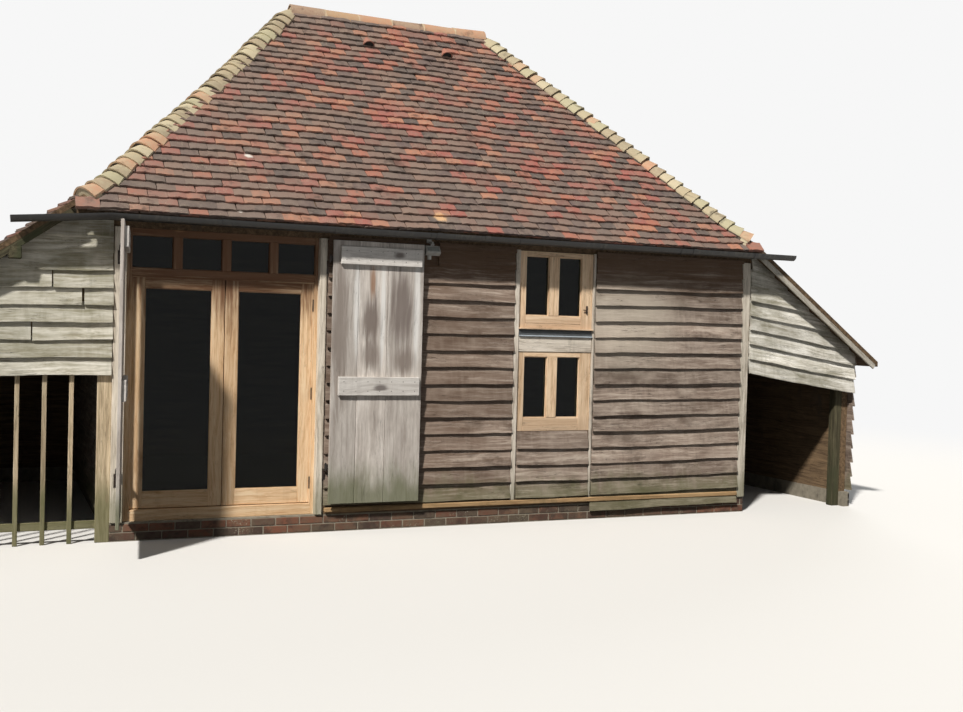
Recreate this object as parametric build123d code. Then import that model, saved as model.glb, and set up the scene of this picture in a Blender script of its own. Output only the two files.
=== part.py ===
from build123d import *
import math
import os

# Hipped, tiled potting shed with a lean-to store under each hip. Millimetres,
# Z up, ground level at Z = 0, X along the front to the right, front towards -Y.
# The origin is on the ground, midway under the ridge.

# Main roof
ridge_length = 2270.0
main_pitch = 47.0
eaves_height = 2866.0
eaves_overhang = 250.0
tile_layer = 45.0
rafter_depth = 100.0
rafter_width = 50.0
rafter_spacing = 400.0
rafter_foot_drop = 91.0
hip_rafter_depth = 150.0
ridge_board_thickness = 40.0
ridge_board_drop = 330.0
fascia_thickness = 20.0
fascia_setback = 40.0
fascia_drop = 98.0
fascia_end_inset = 20.0
fascia_rise = 60.0

# Lean-to roofs, which carry the hips on down at a shallower pitch
leanto_pitch = 35.6
leanto_lift = 70.0
leanto_wall_reach = 5030.0
leanto_eaves_overhang = 190.0
leanto_wall_thickness = 80.0
leanto_post_size = 100.0
left_board_drop = 1276.0
right_board_drop = 1166.0
right_board_fall = 8.25

# Main walls: outer faces
wall_depth = 4160.0
wall_left = -3137.0
wall_right = 3533.0
wall_thickness = 120.0
plinth_height = 165.0
floor_top = 265.0
plate_drop = 131.0
plate_depth = 210.0
post_proud = 25.0
corner_post_width = 106.0
drip_board_bottom = 185.0
drip_board_height = 47.0
drip_board_reach = 45.0

# Doorway between its two posts
doorway_left = -3033.0
doorway_right = -1297.0
door_post_width = 67.0
frame_setback = 45.0
frame_depth = 75.0
frame_jamb = 48.0
frame_head = 60.0
threshold_thickness = 100.0
transom_light_height = 285.0
transom_bar_height = 68.0
transom_mullion = 78.0
transom_lights = 4
stop_width = 12.0
stop_thickness = 22.0

# Glazed door leaves
leaf_thickness = 44.0
leaf_stile = 115.0
leaf_top_rail = 100.0
leaf_bottom_rail = 145.0
leaf_side_gap = 5.0
leaf_meeting_gap = 7.0
leaf_foot_gap = 8.0
leaf_head_gap = 5.0
leaf_setback = 4.0
leaf_stop_gap = 5.0
glass_thickness = 12.0
glass_rebate = 12.0
glass_gap = 0.3
knuckle_radius = 7.0
knuckle_length = 36.0
knuckle_gap = 0.4
knuckle_face_gap = 0.5
hinge_flap = 30.0
hinge_plate_thickness = 3.0
hinge_pin_radius = 3.5
hinge_pin_gap = 0.2
hinge_foot_offset = 207.0
hinge_head_offset = 197.0

# Ledged outer leaves
outer_leaf_thickness = 28.0
outer_leaf_foot_gap = 10.0
outer_leaf_head_gap = 15.0
outer_meeting_gap = 30.0
outer_pin_outset = 58.0
outer_pin_standoff = 75.0
outer_edge_gap = 19.0
outer_face_gap = 14.0
board_shares = (0.28, 0.32, 0.40)
board_groove = 4.0
ledge_thickness = 36.0
ledge_head_drop = 52.0
ledge_head_width = 168.0
ledge_spacing = 1217.0
ledge_middle_width = 175.0
ledge_hinge_inset = 65.0
ledge_free_inset = 30.0
strap_foot_offset = 345.0
strap_head_offset = 170.0
strap_width = 45.0
strap_thickness = 6.0
strap_length = 560.0
strap_eye_radius = 13.0
pintle_radius = 8.0
pintle_gap = 0.3
pintle_rise = 12.0
pintle_collar = 16.0
pintle_arm = 16.0
pintle_plate_height = 120.0
pintle_plate_width = 28.0
left_leaf_rest_angle = 97.0

# Windows, one over the other
window_left = 731.0
window_right = 1565.0
window_head_gap = 5.0
upper_window_height = 780.0
lower_window_height = 800.0
window_spacing = 230.0
window_proud = 10.0
window_depth = 90.0
window_glass_proud = 45.0
light_left_jamb = 78.0
light_mullion = 113.0
light_right_jamb = 127.0
light_head = 50.0
light_sill = 136.0
cover_strip_left = 50.0
cover_strip_right = 25.0
cover_strip_thickness = 30.0
apron_thickness = 20.0
flashing_gap = 5.0
flashing_height = 70.0
flashing_reach = 34.0
flashing_thickness = 5.0

# Gutters
gutter_radius = 56.0
gutter_wall = 3.0
gutter_drop = 46.0
gutter_right_reach = 432.0
gutter_left_reach = 511.0
gutter_bend_inset = 265.0
gutter_droop = 5.0
gutter_fascia_gap = 6.0
gutter_bracket_width = 28.0
gutter_bracket_thickness = 4.0
gutter_bracket_drop = 4.0
gutter_bracket_tab = 40.0
gutter_bracket_count = 8
gutter_bracket_inset = 100.0

# Ridge and hip tiles
ridge_radius = 120.0
ridge_rise = 71.4
ridge_tile_thickness = 14.0
ridge_end_lap = 20.0
hip_radius = 100.0
hip_rise = 48.0

# Slatted front of the left store
slat_width = 38.0
slat_thickness = 25.0
slat_pitch = 215.0
slat_first = 327.0
slat_rail_height = 70.0
slat_rail_bottom = 120.0
door_side_board = 119.0

# Outside lamp
lamp_left = -315.0
lamp_width = 145.0
lamp_height = 85.0
lamp_depth = 55.0
lamp_edge_radius = 8.0
lamp_tilt = 35.0
lamp_pivot_reach = 95.0
lamp_pivot_drop = 12.0
lamp_pivot_lift = 16.0
lamp_arm = 16.0
lamp_plate = 50.0
lamp_plate_thickness = 6.0
lamp_plate_lift = 5.0
lamp_pin_radius = 4.0
lamp_pin_gap = 0.2
lamp_ear_thickness = 6.0
lamp_ear_gap = 1.5
lamp_ear_width = 18.0
lamp_ear_drop = 40.0
sensor_radius = 20.0
sensor_length = 42.0
sensor_offset = 30.0
sensor_drop = 123.0
sensor_neck_radius = 8.0
sensor_neck_drop = 89.0
sensor_neck_length = 60.0

# Purlin end that shows under the left eaves
purlin_size = 100.0
purlin_outset = 743.0

# How far a cutting solid runs past what it cuts
past = 1.0
ground_clear = -10.0
slab_cut_room = 100.0

# Worked out from the sizes above
tan_main = math.tan(math.radians(main_pitch))
cos_main = math.cos(math.radians(main_pitch))
tan_lean = math.tan(math.radians(leanto_pitch))
cos_lean = math.cos(math.radians(leanto_pitch))
half_ridge = ridge_length / 2
wall_y = wall_depth / 2
eaves_y = wall_y + eaves_overhang
eaves_x = half_ridge + eaves_y
apex = eaves_height + eaves_y * tan_main
ridge_top = apex + ridge_rise
leanto_start = eaves_height + leanto_lift
break_x = eaves_x - leanto_lift / (tan_main - tan_lean)
break_y = break_x - half_ridge
verge_y = eaves_y - leanto_lift / tan_main
roof_reach = leanto_wall_reach + leanto_eaves_overhang
inner_y = wall_y - wall_thickness
door_centre = (doorway_left + doorway_right) / 2

# Levels that follow the eaves
plate_bottom = eaves_height - plate_drop
plate_top = plate_bottom + plate_depth
rafter_foot_level = eaves_height - rafter_foot_drop
gutter_top = eaves_height - gutter_drop
left_board_foot = eaves_height - left_board_drop
right_board_foot = eaves_height - right_board_drop
sill_top = plinth_height + threshold_thickness
transom_light_top = plate_bottom - frame_head
transom_light_bottom = transom_light_top - transom_light_height
transom_bar_bottom = transom_light_bottom - transom_bar_height
leaf_foot = sill_top + leaf_foot_gap
leaf_head = transom_bar_bottom - leaf_head_gap
hinge_low = leaf_foot + hinge_foot_offset
hinge_high = leaf_head - hinge_head_offset
hinge_heights = (hinge_low, (hinge_low + hinge_high) / 2, hinge_high)
outer_leaf_foot = sill_top + outer_leaf_foot_gap
outer_leaf_head = plate_bottom - outer_leaf_head_gap
ledge_top_bottom = outer_leaf_head - ledge_head_drop - ledge_head_width
ledge_heights = ((ledge_top_bottom - ledge_spacing, ledge_middle_width),
                 (ledge_top_bottom, ledge_head_width))
strap_heights = (outer_leaf_foot + strap_foot_offset, outer_leaf_head - strap_head_offset)
upper_window_top = plate_bottom - window_head_gap
upper_window_bottom = upper_window_top - upper_window_height
lower_window_top = upper_window_bottom - window_spacing
lower_window_bottom = lower_window_top - lower_window_height
flashing_top = upper_window_bottom - flashing_gap
flashing_bottom = flashing_top - flashing_height
lamp_low = plate_bottom + lamp_plate_lift
gutter_right_end = eaves_x + gutter_right_reach
gutter_left_end = eaves_x + gutter_left_reach
gutter_bend = eaves_x - gutter_bend_inset
purlin_reach = -wall_left + purlin_outset

parts = {}


def block(x0, x1, y0, y1, z0, z1):
    """A plain block between two corners."""
    size = (x1 - x0, y1 - y0, z1 - z0)
    return Pos((x0 + x1) / 2, (y0 + y1) / 2, (z0 + z1) / 2) * Box(*size)


def plan_prism(points, z0, z1):
    """An upright prism over an outline in plan."""
    outline = make_face(Polyline([(x, y, z0) for x, y in points], close=True))
    return extrude(outline, amount=z1 - z0, dir=(0, 0, 1))


def front_prism(points, y0, y1):
    """A prism along Y over an outline seen from the front."""
    outline = make_face(Polyline([(x, y0, z) for x, z in points], close=True))
    return extrude(outline, amount=y1 - y0, dir=(0, 1, 0))


def side_prism(points, x0, x1):
    """A prism along X over an outline seen from the side."""
    outline = make_face(Polyline([(x0, y, z) for y, z in points], close=True))
    return extrude(outline, amount=x1 - x0, dir=(1, 0, 0))


def mirror_x(shape):
    """The same shape on the other end of the building."""
    return mirror(shape, about=Plane.YZ)


def mirror_y(shape):
    """The same shape on the other long side."""
    return mirror(shape, about=Plane.XZ)


def keep(name, *solids):
    """Collect solids under a node's name."""
    found = []
    for shape in solids:
        found.extend(shape.solids())
    parts.setdefault(name, []).extend(found)


def lean_drop(depth):
    """Height lost at the lean-to slope by a layer of this depth."""
    return depth / cos_lean


def main_drop(depth):
    """Height lost at the main slope by a layer of this depth."""
    return depth / cos_main


def lean_level(x, depth):
    """Height of the lean-to slope at a distance x from the middle, under a layer."""
    return leanto_start + (eaves_x - abs(x)) * tan_lean - lean_drop(depth)


def space_under_roof(depth):
    """All space under the roof surface once it is lowered by a layer of this depth."""
    top = apex - main_drop(depth)
    meet = top + half_ridge * tan_main
    fold = (meet - leanto_start - eaves_x * tan_lean + lean_drop(depth)) / (tan_main - tan_lean)
    fold_level = lean_level(fold, depth)
    foot = lean_level(roof_reach, depth)
    ends = [(-roof_reach, ground_clear), (-roof_reach, foot), (-fold, fold_level), (-half_ridge, top)]
    outline = ends + [(-x, z) for x, z in reversed(ends)]
    lengthwise = front_prism(outline, -eaves_y - past, eaves_y + past)
    run = (top - ground_clear) / tan_main
    across = side_prism([(-run, ground_clear), (0, top), (run, ground_clear)],
                        -roof_reach - past, roof_reach + past)
    return lengthwise & across


def leanto_space(depth):
    """Space under one lean-to slope alone, on the right."""
    return front_prism([(0, ground_clear), (roof_reach, ground_clear),
                        (roof_reach, lean_level(roof_reach, depth)),
                        (0, lean_level(0, depth))], -verge_y, verge_y)


surface = space_under_roof(0)
under_tiles = space_under_roof(tile_layer)
under_rafters = space_under_roof(tile_layer + rafter_depth)
slab_cut_low = lean_level(roof_reach, tile_layer) - slab_cut_room
slab_cut_high = apex + slab_cut_room

front_plan = [(-half_ridge, 0), (half_ridge, 0), (break_x, -break_y), (eaves_x, -verge_y),
              (eaves_x, -eaves_y), (-eaves_x, -eaves_y), (-eaves_x, -verge_y), (-break_x, -break_y)]
hip_plan = [(half_ridge, 0), (break_x, -break_y), (break_x, break_y)]
leanto_plan = [(break_x, -break_y), (eaves_x, -verge_y), (roof_reach, -verge_y),
               (roof_reach, verge_y), (eaves_x, verge_y), (break_x, break_y)]


def roof_slopes():
    """Tiled layers of the roof, meeting on upright planes at the hips."""
    main_layer = surface - under_tiles
    front = main_layer & plan_prism(front_plan, slab_cut_low, slab_cut_high)
    hip = main_layer & plan_prism(hip_plan, slab_cut_low, slab_cut_high)
    layer = leanto_space(0) - leanto_space(tile_layer)
    leanto = layer & plan_prism(leanto_plan, 0, slab_cut_high)
    keep("roof_front", front)
    keep("roof_back", mirror_y(front))
    keep("roof_hip_right", hip)
    keep("roof_hip_left", mirror_x(hip))
    keep("leanto_roof_right", leanto)
    keep("leanto_roof_left", mirror_x(leanto))


def wall_plates():
    """Eaves beams on the main walls, bevelled where the roof comes down to them."""
    t = wall_thickness
    front = block(wall_left, wall_right, -wall_y, -inner_y, plate_bottom, plate_top)
    left = block(wall_left, wall_left + t, -inner_y, inner_y, plate_bottom, plate_top)
    right = block(wall_right - t, wall_right, -inner_y, inner_y, plate_bottom, plate_top)
    beams = [front, mirror_y(front), left, right]
    return [beam & under_tiles & leanto_bound(tile_layer) for beam in beams]


def leanto_bound(depth):
    """Space under both lean-to slopes, open in the middle."""
    points = [(-roof_reach, ground_clear), (roof_reach, ground_clear),
              (roof_reach, lean_level(roof_reach, depth)),
              (break_x, lean_level(break_x, depth)), (break_x, slab_cut_high),
              (-break_x, slab_cut_high), (-break_x, lean_level(break_x, depth)),
              (-roof_reach, lean_level(roof_reach, depth))]
    return front_prism(points, -eaves_y, eaves_y)


def comb(spacing, reach, blade):
    """Blades at an even spacing either side of the middle, out to a reach."""
    count = int(reach / spacing)
    return [blade(index * spacing) for index in range(-count, count + 1)]


def cut_all(timbers, cutters):
    """Each timber with every cutter taken out of it."""
    for cutter in cutters:
        timbers = [timber - cutter for timber in timbers]
    return timbers


def rafters(plates):
    """Ridge board and hip rafters, with common and jack rafters cut to meet them."""
    half = rafter_width / 2
    foot_y = eaves_y - fascia_setback - fascia_thickness
    ridge_board = under_tiles & block(-half_ridge, half_ridge, -ridge_board_thickness / 2,
                                      ridge_board_thickness / 2, apex - ridge_board_drop, apex)
    deep = under_tiles - space_under_roof(tile_layer + hip_rafter_depth)
    length = math.hypot(break_y, break_y)
    hip_blade = block(0, length, -half, half, slab_cut_low, slab_cut_high)
    hip_blade = Pos(half_ridge, 0, 0) * Rot(0, 0, -45) * hip_blade
    quarter = block(half_ridge, break_x, -break_y, 0, slab_cut_low, slab_cut_high)
    hip = deep & hip_blade & quarter
    heads = [ridge_board, hip, mirror_x(hip), mirror_y(hip), mirror_x(mirror_y(hip))]
    layer = (under_tiles - under_rafters) & block(-eaves_x, eaves_x, -eaves_y, eaves_y,
                                                  rafter_foot_level, slab_cut_high)
    plan = [(-half_ridge, 0), (half_ridge, 0), (break_x, -break_y), (break_x, -foot_y),
            (-break_x, -foot_y), (-break_x, -break_y)]
    blades = comb(rafter_spacing, break_x - rafter_width,
                  lambda x: block(x - half, x + half, -foot_y, 0, rafter_foot_level, slab_cut_high))
    front = layer & plan_prism(plan, slab_cut_low, slab_cut_high) & Compound(children=blades)
    blades = comb(rafter_spacing, break_y - rafter_width,
                  lambda y: block(half_ridge, break_x, y - half, y + half, rafter_foot_level, slab_cut_high))
    side = layer & plan_prism(hip_plan, slab_cut_low, slab_cut_high) & Compound(children=blades)
    front = (front - Compound(children=plates)).cut(*heads)
    side = (side - Compound(children=plates)).cut(*heads)
    timbers = cut_all(heads, plates)
    timbers.extend([front, mirror_y(front), side, mirror_x(side)])
    keep("roof_frame", *timbers)
    return timbers


def fascias():
    """Boards along the rafter feet that carry the gutters."""
    end = eaves_x - fascia_end_inset
    front = block(-end, end, -eaves_y + fascia_setback,
                  -eaves_y + fascia_setback + fascia_thickness, eaves_height - fascia_drop,
                  eaves_height + fascia_rise)
    front = front & under_tiles
    keep("fascia_boards", front, mirror_y(front))


def tube_along(start, end, radius):
    """A round bar from one point to another."""
    axis = end - start
    return extrude(Plane(origin=start, z_dir=axis) * Circle(radius), amount=axis.length)


def saddle_along(start, end, radius, before=0.0, after=0.0):
    """A thin tube along a line, lengthened at either end; roof slopes are cut out of it later."""
    way = (end - start).normalized()
    start = start - way * before
    end = end + way * after
    return tube_along(start, end, radius) - tube_along(start, end, radius - ridge_tile_thickness)


def under_planes():
    """Everything under the front, hip and lean-to slopes, each carried on past its edges."""
    far = eaves_x + hip_radius * 3
    front = side_prism([(-far, ground_clear), (-far, apex - far * tan_main), (0, apex), (0, ground_clear)],
                       -far, far)
    hip = front_prism([(half_ridge, ground_clear), (half_ridge, apex),
                       (far, apex - (far - half_ridge) * tan_main), (far, ground_clear)], -far, far)
    lean = front_prism([(0, ground_clear), (0, lean_level(0, 0)), (far, lean_level(far, 0)),
                        (far, ground_clear)], -far, far)
    return front, hip, lean


def hip_mitre(fold, way_up, way_down):
    """Plan regions above and below the upright plane where the hip changes direction."""
    normal = (way_up + way_down).normalized()
    along = Vector(-normal.Y, normal.X, 0)
    size = eaves_x
    corners = [fold + along * size, fold - along * size]
    regions = []
    for side in (-size, size):
        outline = corners + [corners[1] + normal * side, corners[0] + normal * side]
        regions.append(plan_prism([(point.X, point.Y) for point in outline], 0, apex + hip_radius))
    return regions


def ridge_and_hips():
    """Ridge tiles and the rounded tiles down each hip, bedded on the slopes."""
    end = half_ridge + ridge_end_lap
    centre = ridge_top - ridge_radius
    line = (Vector(-end, 0, centre), Vector(end, 0, centre))
    upper_half = block(-end, end, -ridge_radius, ridge_radius, centre, ridge_top)
    keep("ridge_tiles", (saddle_along(*line, ridge_radius) & upper_half) - surface)
    bed_radius = ridge_radius - ridge_tile_thickness
    bed = tube_along(Vector(-half_ridge, 0, centre), Vector(half_ridge, 0, centre), bed_radius)
    sides = block(-half_ridge, half_ridge, -bed_radius, bed_radius, centre - ridge_radius, centre)
    keep("ridge_tiles", ((bed & upper_half) + sides) - surface)
    front_under, hip_under, lean_under = under_planes()
    sink = hip_radius - hip_rise
    top = Vector(half_ridge, 0, apex - sink)
    fold = Vector(break_x, -break_y, apex - break_y * tan_main - sink)
    foot = Vector(eaves_x, -verge_y, leanto_start - sink)
    way_up = Vector(1, -1, 0).normalized()
    way_down = Vector(foot.X - fold.X, foot.Y - fold.Y, 0).normalized()
    above, below = hip_mitre(fold, way_up, way_down)
    front_side = block(half_ridge, eaves_x, -eaves_x, 0, 0, apex + hip_radius)
    run = saddle_along(top, fold, hip_radius, after=hip_radius) & above & front_side
    run = run - front_under - hip_under - tube_along(*line, ridge_radius)
    tail = (saddle_along(fold, foot, hip_radius, before=hip_radius) & below) - front_under - lean_under
    for shape in (run, tail):
        keep("hip_tiles", shape, mirror_x(shape), mirror_y(shape), mirror_x(mirror_y(shape)))


def base():
    """Brick footing under every boarded wall, and the floor inside the shed."""
    t = wall_thickness
    lt = leanto_wall_thickness
    reach = leanto_wall_reach
    keep("plinth",
         block(wall_left, wall_right, -wall_y, -inner_y, 0, plinth_height),
         block(wall_left, wall_left + t, -inner_y, inner_y, 0, plinth_height),
         block(wall_right - t, wall_right, -inner_y, inner_y, 0, plinth_height),
         block(-reach, reach, inner_y, wall_y, 0, plinth_height),
         block(-reach, -reach + lt, -wall_y, inner_y, 0, plinth_height),
         block(reach - lt, reach, -wall_y, inner_y, 0, plinth_height))
    keep("floor", block(wall_left + t, wall_right - t, -inner_y, inner_y, 0, floor_top))


def walls():
    """Boarded walls of the shed, split beside the doorway and round the windows."""
    t = wall_thickness
    front = -wall_y
    door_post_outer = doorway_right + door_post_width
    corner_inner = wall_right - corner_post_width
    keep("front_wall_by_door", block(door_post_outer, window_left, front, front + t,
                                     plinth_height, plate_bottom))
    keep("front_wall_right", block(window_right, corner_inner, front, front + t,
                                   plinth_height, plate_bottom))
    keep("front_wall_at_windows",
         block(window_left, window_right, front, front + t, plinth_height, lower_window_bottom),
         block(window_left, window_right, front, front + t, lower_window_top, upper_window_bottom))
    reach = leanto_wall_reach
    back = block(-reach, reach, inner_y, wall_y, plinth_height, plate_bottom)
    keep("back_wall", back & leanto_bound(tile_layer))
    keep("end_walls",
         block(wall_left, wall_left + t, -inner_y, inner_y, plinth_height, plate_bottom),
         block(wall_right - t, wall_right, -inner_y, inner_y, plinth_height, plate_bottom))
    left_post = block(wall_left, doorway_left, front - post_proud, -inner_y, plinth_height, plate_bottom)
    right_post = block(corner_inner, wall_right, front - post_proud, -inner_y, plinth_height, plate_bottom)
    door_post = block(doorway_right, door_post_outer, front - post_proud, -inner_y,
                      plinth_height, plate_bottom)
    keep("wall_posts", left_post, door_post, right_post)
    keep("drip_board", block(door_post_outer, corner_inner, front - drip_board_reach, front,
                             drip_board_bottom, drip_board_bottom + drip_board_height))


def leanto_walls(frame):
    """Walls of the two lean-to stores: boarded high fronts, closed sides, corner posts."""
    t = leanto_wall_thickness
    reach = leanto_wall_reach
    front = -wall_y
    top = plate_top
    left = front_prism([(-reach, left_board_foot), (wall_left, left_board_foot),
                        (wall_left, top), (-reach, top)], front, front + t)
    left = left & leanto_bound(tile_layer)
    keep("leanto_front_left", *cut_all([left], frame))
    fall = (reach - wall_right) * math.tan(math.radians(right_board_fall))
    right = front_prism([(wall_right, right_board_foot), (reach, right_board_foot - fall),
                         (reach, top), (wall_right, top)], front, front + t)
    keep("leanto_front_right", right & leanto_bound(tile_layer))
    side = block(reach - t, reach, front + t, inner_y, plinth_height, top) & leanto_bound(tile_layer)
    keep("leanto_side_walls", side, mirror_x(side))
    size = leanto_post_size
    post = block(reach - t - size, reach - t, front + t, front + t + size, 0, top)
    post = post & leanto_bound(tile_layer)
    purlin_top = lean_level(purlin_reach + purlin_size, tile_layer)
    run = block(-purlin_reach - purlin_size, -purlin_reach, -verge_y, -wall_y,
                purlin_top - purlin_size, purlin_top)
    keep("leanto_timbers", post, mirror_x(post), run)


def store_slats():
    """Slatted screen across the open lower front of the left store."""
    front = -wall_y
    back = front + slat_thickness
    right = wall_left
    left = -leanto_wall_reach + leanto_wall_thickness
    top = left_board_foot
    top_rail = block(left, right, back, back + slat_thickness, top - slat_rail_height, top)
    foot_rail = block(left, right, back, back + slat_thickness, slat_rail_bottom,
                      slat_rail_bottom + slat_rail_height)
    screen = [top_rail, foot_rail, block(right - door_side_board, right, front, back, 0, top)]
    x = right - slat_first
    while x - slat_width > left:
        screen.append(block(x - slat_width / 2, x + slat_width / 2, front, back, 0, top))
        x = x - slat_pitch
    keep("store_slats", *screen)


def door_frame():
    """Oak frame of the doorway with a row of lights over the leaves."""
    y0 = -wall_y + frame_setback
    y1 = y0 + frame_depth
    middle = (y0 + y1) / 2
    half = glass_thickness / 2
    left = doorway_left + frame_jamb
    right = doorway_right - frame_jamb
    light_bottom = transom_light_bottom
    light_top = transom_light_top
    stop_y = y1 - leaf_setback - leaf_thickness - leaf_stop_gap
    stop = (stop_y - stop_thickness, stop_y)
    left_jamb = block(doorway_left, left, y0, y1, plinth_height, plate_bottom)
    left_jamb = left_jamb + block(left, left + stop_width, *stop, sill_top, transom_bar_bottom)
    right_jamb = block(right, doorway_right, y0, y1, plinth_height, plate_bottom)
    right_jamb = right_jamb + block(right - stop_width, right, *stop, sill_top, transom_bar_bottom)
    bar = block(left, right, y0, y1, transom_bar_bottom, light_bottom)
    bar = bar + block(left + stop_width, right - stop_width, *stop,
                      transom_bar_bottom - stop_width, transom_bar_bottom)
    timbers = [left_jamb, right_jamb, bar,
               block(left, right, y0, y1, plinth_height, sill_top),
               block(left, right, y0, y1, light_top, plate_bottom)]
    width = (right - left - (transom_lights - 1) * transom_mullion) / transom_lights
    slots = []
    for index in range(transom_lights):
        x = left + index * (width + transom_mullion)
        if index > 0:
            timbers.append(block(x - transom_mullion, x, y0, y1, light_bottom, light_top))
        pane = (x - glass_rebate, x + width + glass_rebate, middle - half, middle + half,
                light_bottom - glass_rebate, light_top + glass_rebate)
        slots.append(glass_slot(pane))
        keep("transom_glass", block(*pane))
    keep("door_frame", *cut_all(timbers, slots))


def glass_slot(pane):
    """The groove that takes a pane, a little larger all round."""
    x0, x1, y0, y1, z0, z1 = pane
    return block(x0 - glass_gap, x1 + glass_gap, y0 - glass_gap, y1 + glass_gap,
                 z0 - glass_gap, z1 + glass_gap)


def upright(x, y, z0, z1, radius):
    """An upright round bar between two levels."""
    return Pos(x, y, (z0 + z1) / 2) * Cylinder(radius, z1 - z0)


def glazed_leaf(side):
    """One glazed leaf, hung on knuckles inside the room; side is -1 for the left leaf."""
    name = "left" if side < 0 else "right"
    frame_back = -wall_y + frame_setback + frame_depth
    y1 = frame_back - leaf_setback
    y0 = y1 - leaf_thickness
    middle = (y0 + y1) / 2
    half = glass_thickness / 2
    hinge_edge = doorway_left + frame_jamb if side < 0 else doorway_right - frame_jamb
    outer = hinge_edge - side * leaf_side_gap
    meet = door_centre + side * leaf_meeting_gap / 2
    z0 = leaf_foot
    z1 = leaf_head
    light = (min(outer, meet) + leaf_stile, max(outer, meet) - leaf_stile,
             z0 + leaf_bottom_rail, z1 - leaf_top_rail)
    hinge_stile = block(min(outer, outer - side * leaf_stile), max(outer, outer - side * leaf_stile),
                        y0, y1, z0, z1)
    meeting_stile = block(min(meet, meet + side * leaf_stile), max(meet, meet + side * leaf_stile),
                          y0, y1, z0, z1)
    pin_x = hinge_edge - side * leaf_side_gap / 2
    pin_y = frame_back + knuckle_radius + knuckle_face_gap
    plate_end = hinge_edge + side * hinge_flap
    flap_end = outer - side * hinge_flap
    for height in hinge_heights:
        low = height - knuckle_length / 2
        high = low + knuckle_length
        flap = block(min(pin_x, flap_end), max(pin_x, flap_end), y1, pin_y - hinge_pin_radius, low, high)
        eye = upright(pin_x, pin_y, low, high, knuckle_radius)
        bore = upright(pin_x, pin_y, low - past, high + past, hinge_pin_radius + hinge_pin_gap)
        hinge_stile = hinge_stile + ((flap + eye) - bore)
        fixed_low = low - knuckle_gap - knuckle_length
        fixed_high = high + knuckle_gap
        pin = upright(pin_x, pin_y, fixed_low, fixed_high + knuckle_length, hinge_pin_radius)
        for start in (fixed_low, fixed_high):
            end = start + knuckle_length
            plate = block(min(pin_x, plate_end), max(pin_x, plate_end), frame_back,
                          frame_back + hinge_plate_thickness, start, end)
            pin = pin + upright(pin_x, pin_y, start, end, knuckle_radius) + plate
        keep("glazed_leaf_pins", pin)
    pane = (light[0] - glass_rebate, light[1] + glass_rebate, middle - half, middle + half,
            light[2] - glass_rebate, light[3] + glass_rebate)
    timbers = [hinge_stile, meeting_stile,
               block(light[0], light[1], y0, y1, z0, light[2]),
               block(light[0], light[1], y0, y1, light[3], z1)]
    keep("glazed_leaf_" + name, *cut_all(timbers, [glass_slot(pane)]))
    keep("glazed_glass_" + name, block(*pane))


def outer_leaf(side):
    """One ledged and boarded outer leaf, drawn shut; side is -1 for the left leaf."""
    inner_edge = doorway_left if side < 0 else doorway_right
    pin_x = inner_edge + side * outer_pin_outset
    pin_y = -wall_y - outer_pin_standoff
    meet = door_centre + side * outer_meeting_gap / 2
    start = pin_x - side * outer_edge_gap
    z0 = outer_leaf_foot
    z1 = outer_leaf_head
    y0 = pin_y + outer_face_gap
    y1 = y0 + outer_leaf_thickness
    width = abs(start - meet)
    leaf = block(min(start, meet), max(start, meet), y0, y1, z0, z1)
    seam = 0.0
    for share in board_shares[:-1]:
        seam = seam + share
        x = start - side * width * seam
        for face in (y0, y1):
            groove = Pos(x, face, (z0 + z1) / 2) * Rot(0, 0, 45) * Box(board_groove, board_groove,
                                                                       z1 - z0 + 2 * past)
            leaf = leaf - groove
    ledge_x = (start - side * ledge_hinge_inset, meet + side * ledge_free_inset)
    for bottom, height in ledge_heights:
        leaf = leaf + block(min(ledge_x), max(ledge_x), y1, y1 + ledge_thickness, bottom, bottom + height)
    straps = []
    pintles = []
    for height in strap_heights:
        tail = start - side * strap_length
        strap_y1 = y0
        strap_y0 = strap_y1 - strap_thickness
        strap = block(min(pin_x, tail), max(pin_x, tail), strap_y0, strap_y1,
                      height - strap_width / 2, height + strap_width / 2)
        ends = (height - strap_width / 2, height + strap_width / 2)
        eye = upright(pin_x, pin_y, *ends, strap_eye_radius)
        bore = upright(pin_x, pin_y, ends[0] - past, ends[1] + past, pintle_radius + pintle_gap)
        straps.append((strap + eye) - bore)
        seat = height - strap_width / 2 - pintle_gap
        pin = upright(pin_x, pin_y, seat - pintle_collar, height + strap_width / 2 + pintle_rise, pintle_radius)
        collar = upright(pin_x, pin_y, seat - pintle_collar, seat, strap_eye_radius)
        post_face = -wall_y - post_proud
        arm = block(pin_x - pintle_arm / 2, pin_x + pintle_arm / 2, pin_y, post_face,
                    seat - pintle_collar, seat)
        plate_x = pin_x + pintle_arm / 2
        plate = block(plate_x - pintle_plate_width, plate_x, post_face - strap_thickness, post_face,
                      seat - pintle_plate_height, seat)
        pintles.append(pin + collar + arm + plate)
    return leaf, straps, pintles, (pin_x, pin_y)


def outer_leaves():
    """The two outer leaves at rest: the right one folded back, the left one standing out."""
    for side, name, angle in ((-1, "left", -left_leaf_rest_angle), (1, "right", 180.0)):
        leaf, straps, pintles, pin = outer_leaf(side)
        about = Axis((pin[0], pin[1], 0), (0, 0, 1))
        keep("outer_leaf_" + name, leaf.rotate(about, angle))
        keep("outer_straps_" + name, *[strap.rotate(about, angle) for strap in straps])
        keep("outer_pintles", *pintles)


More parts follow.
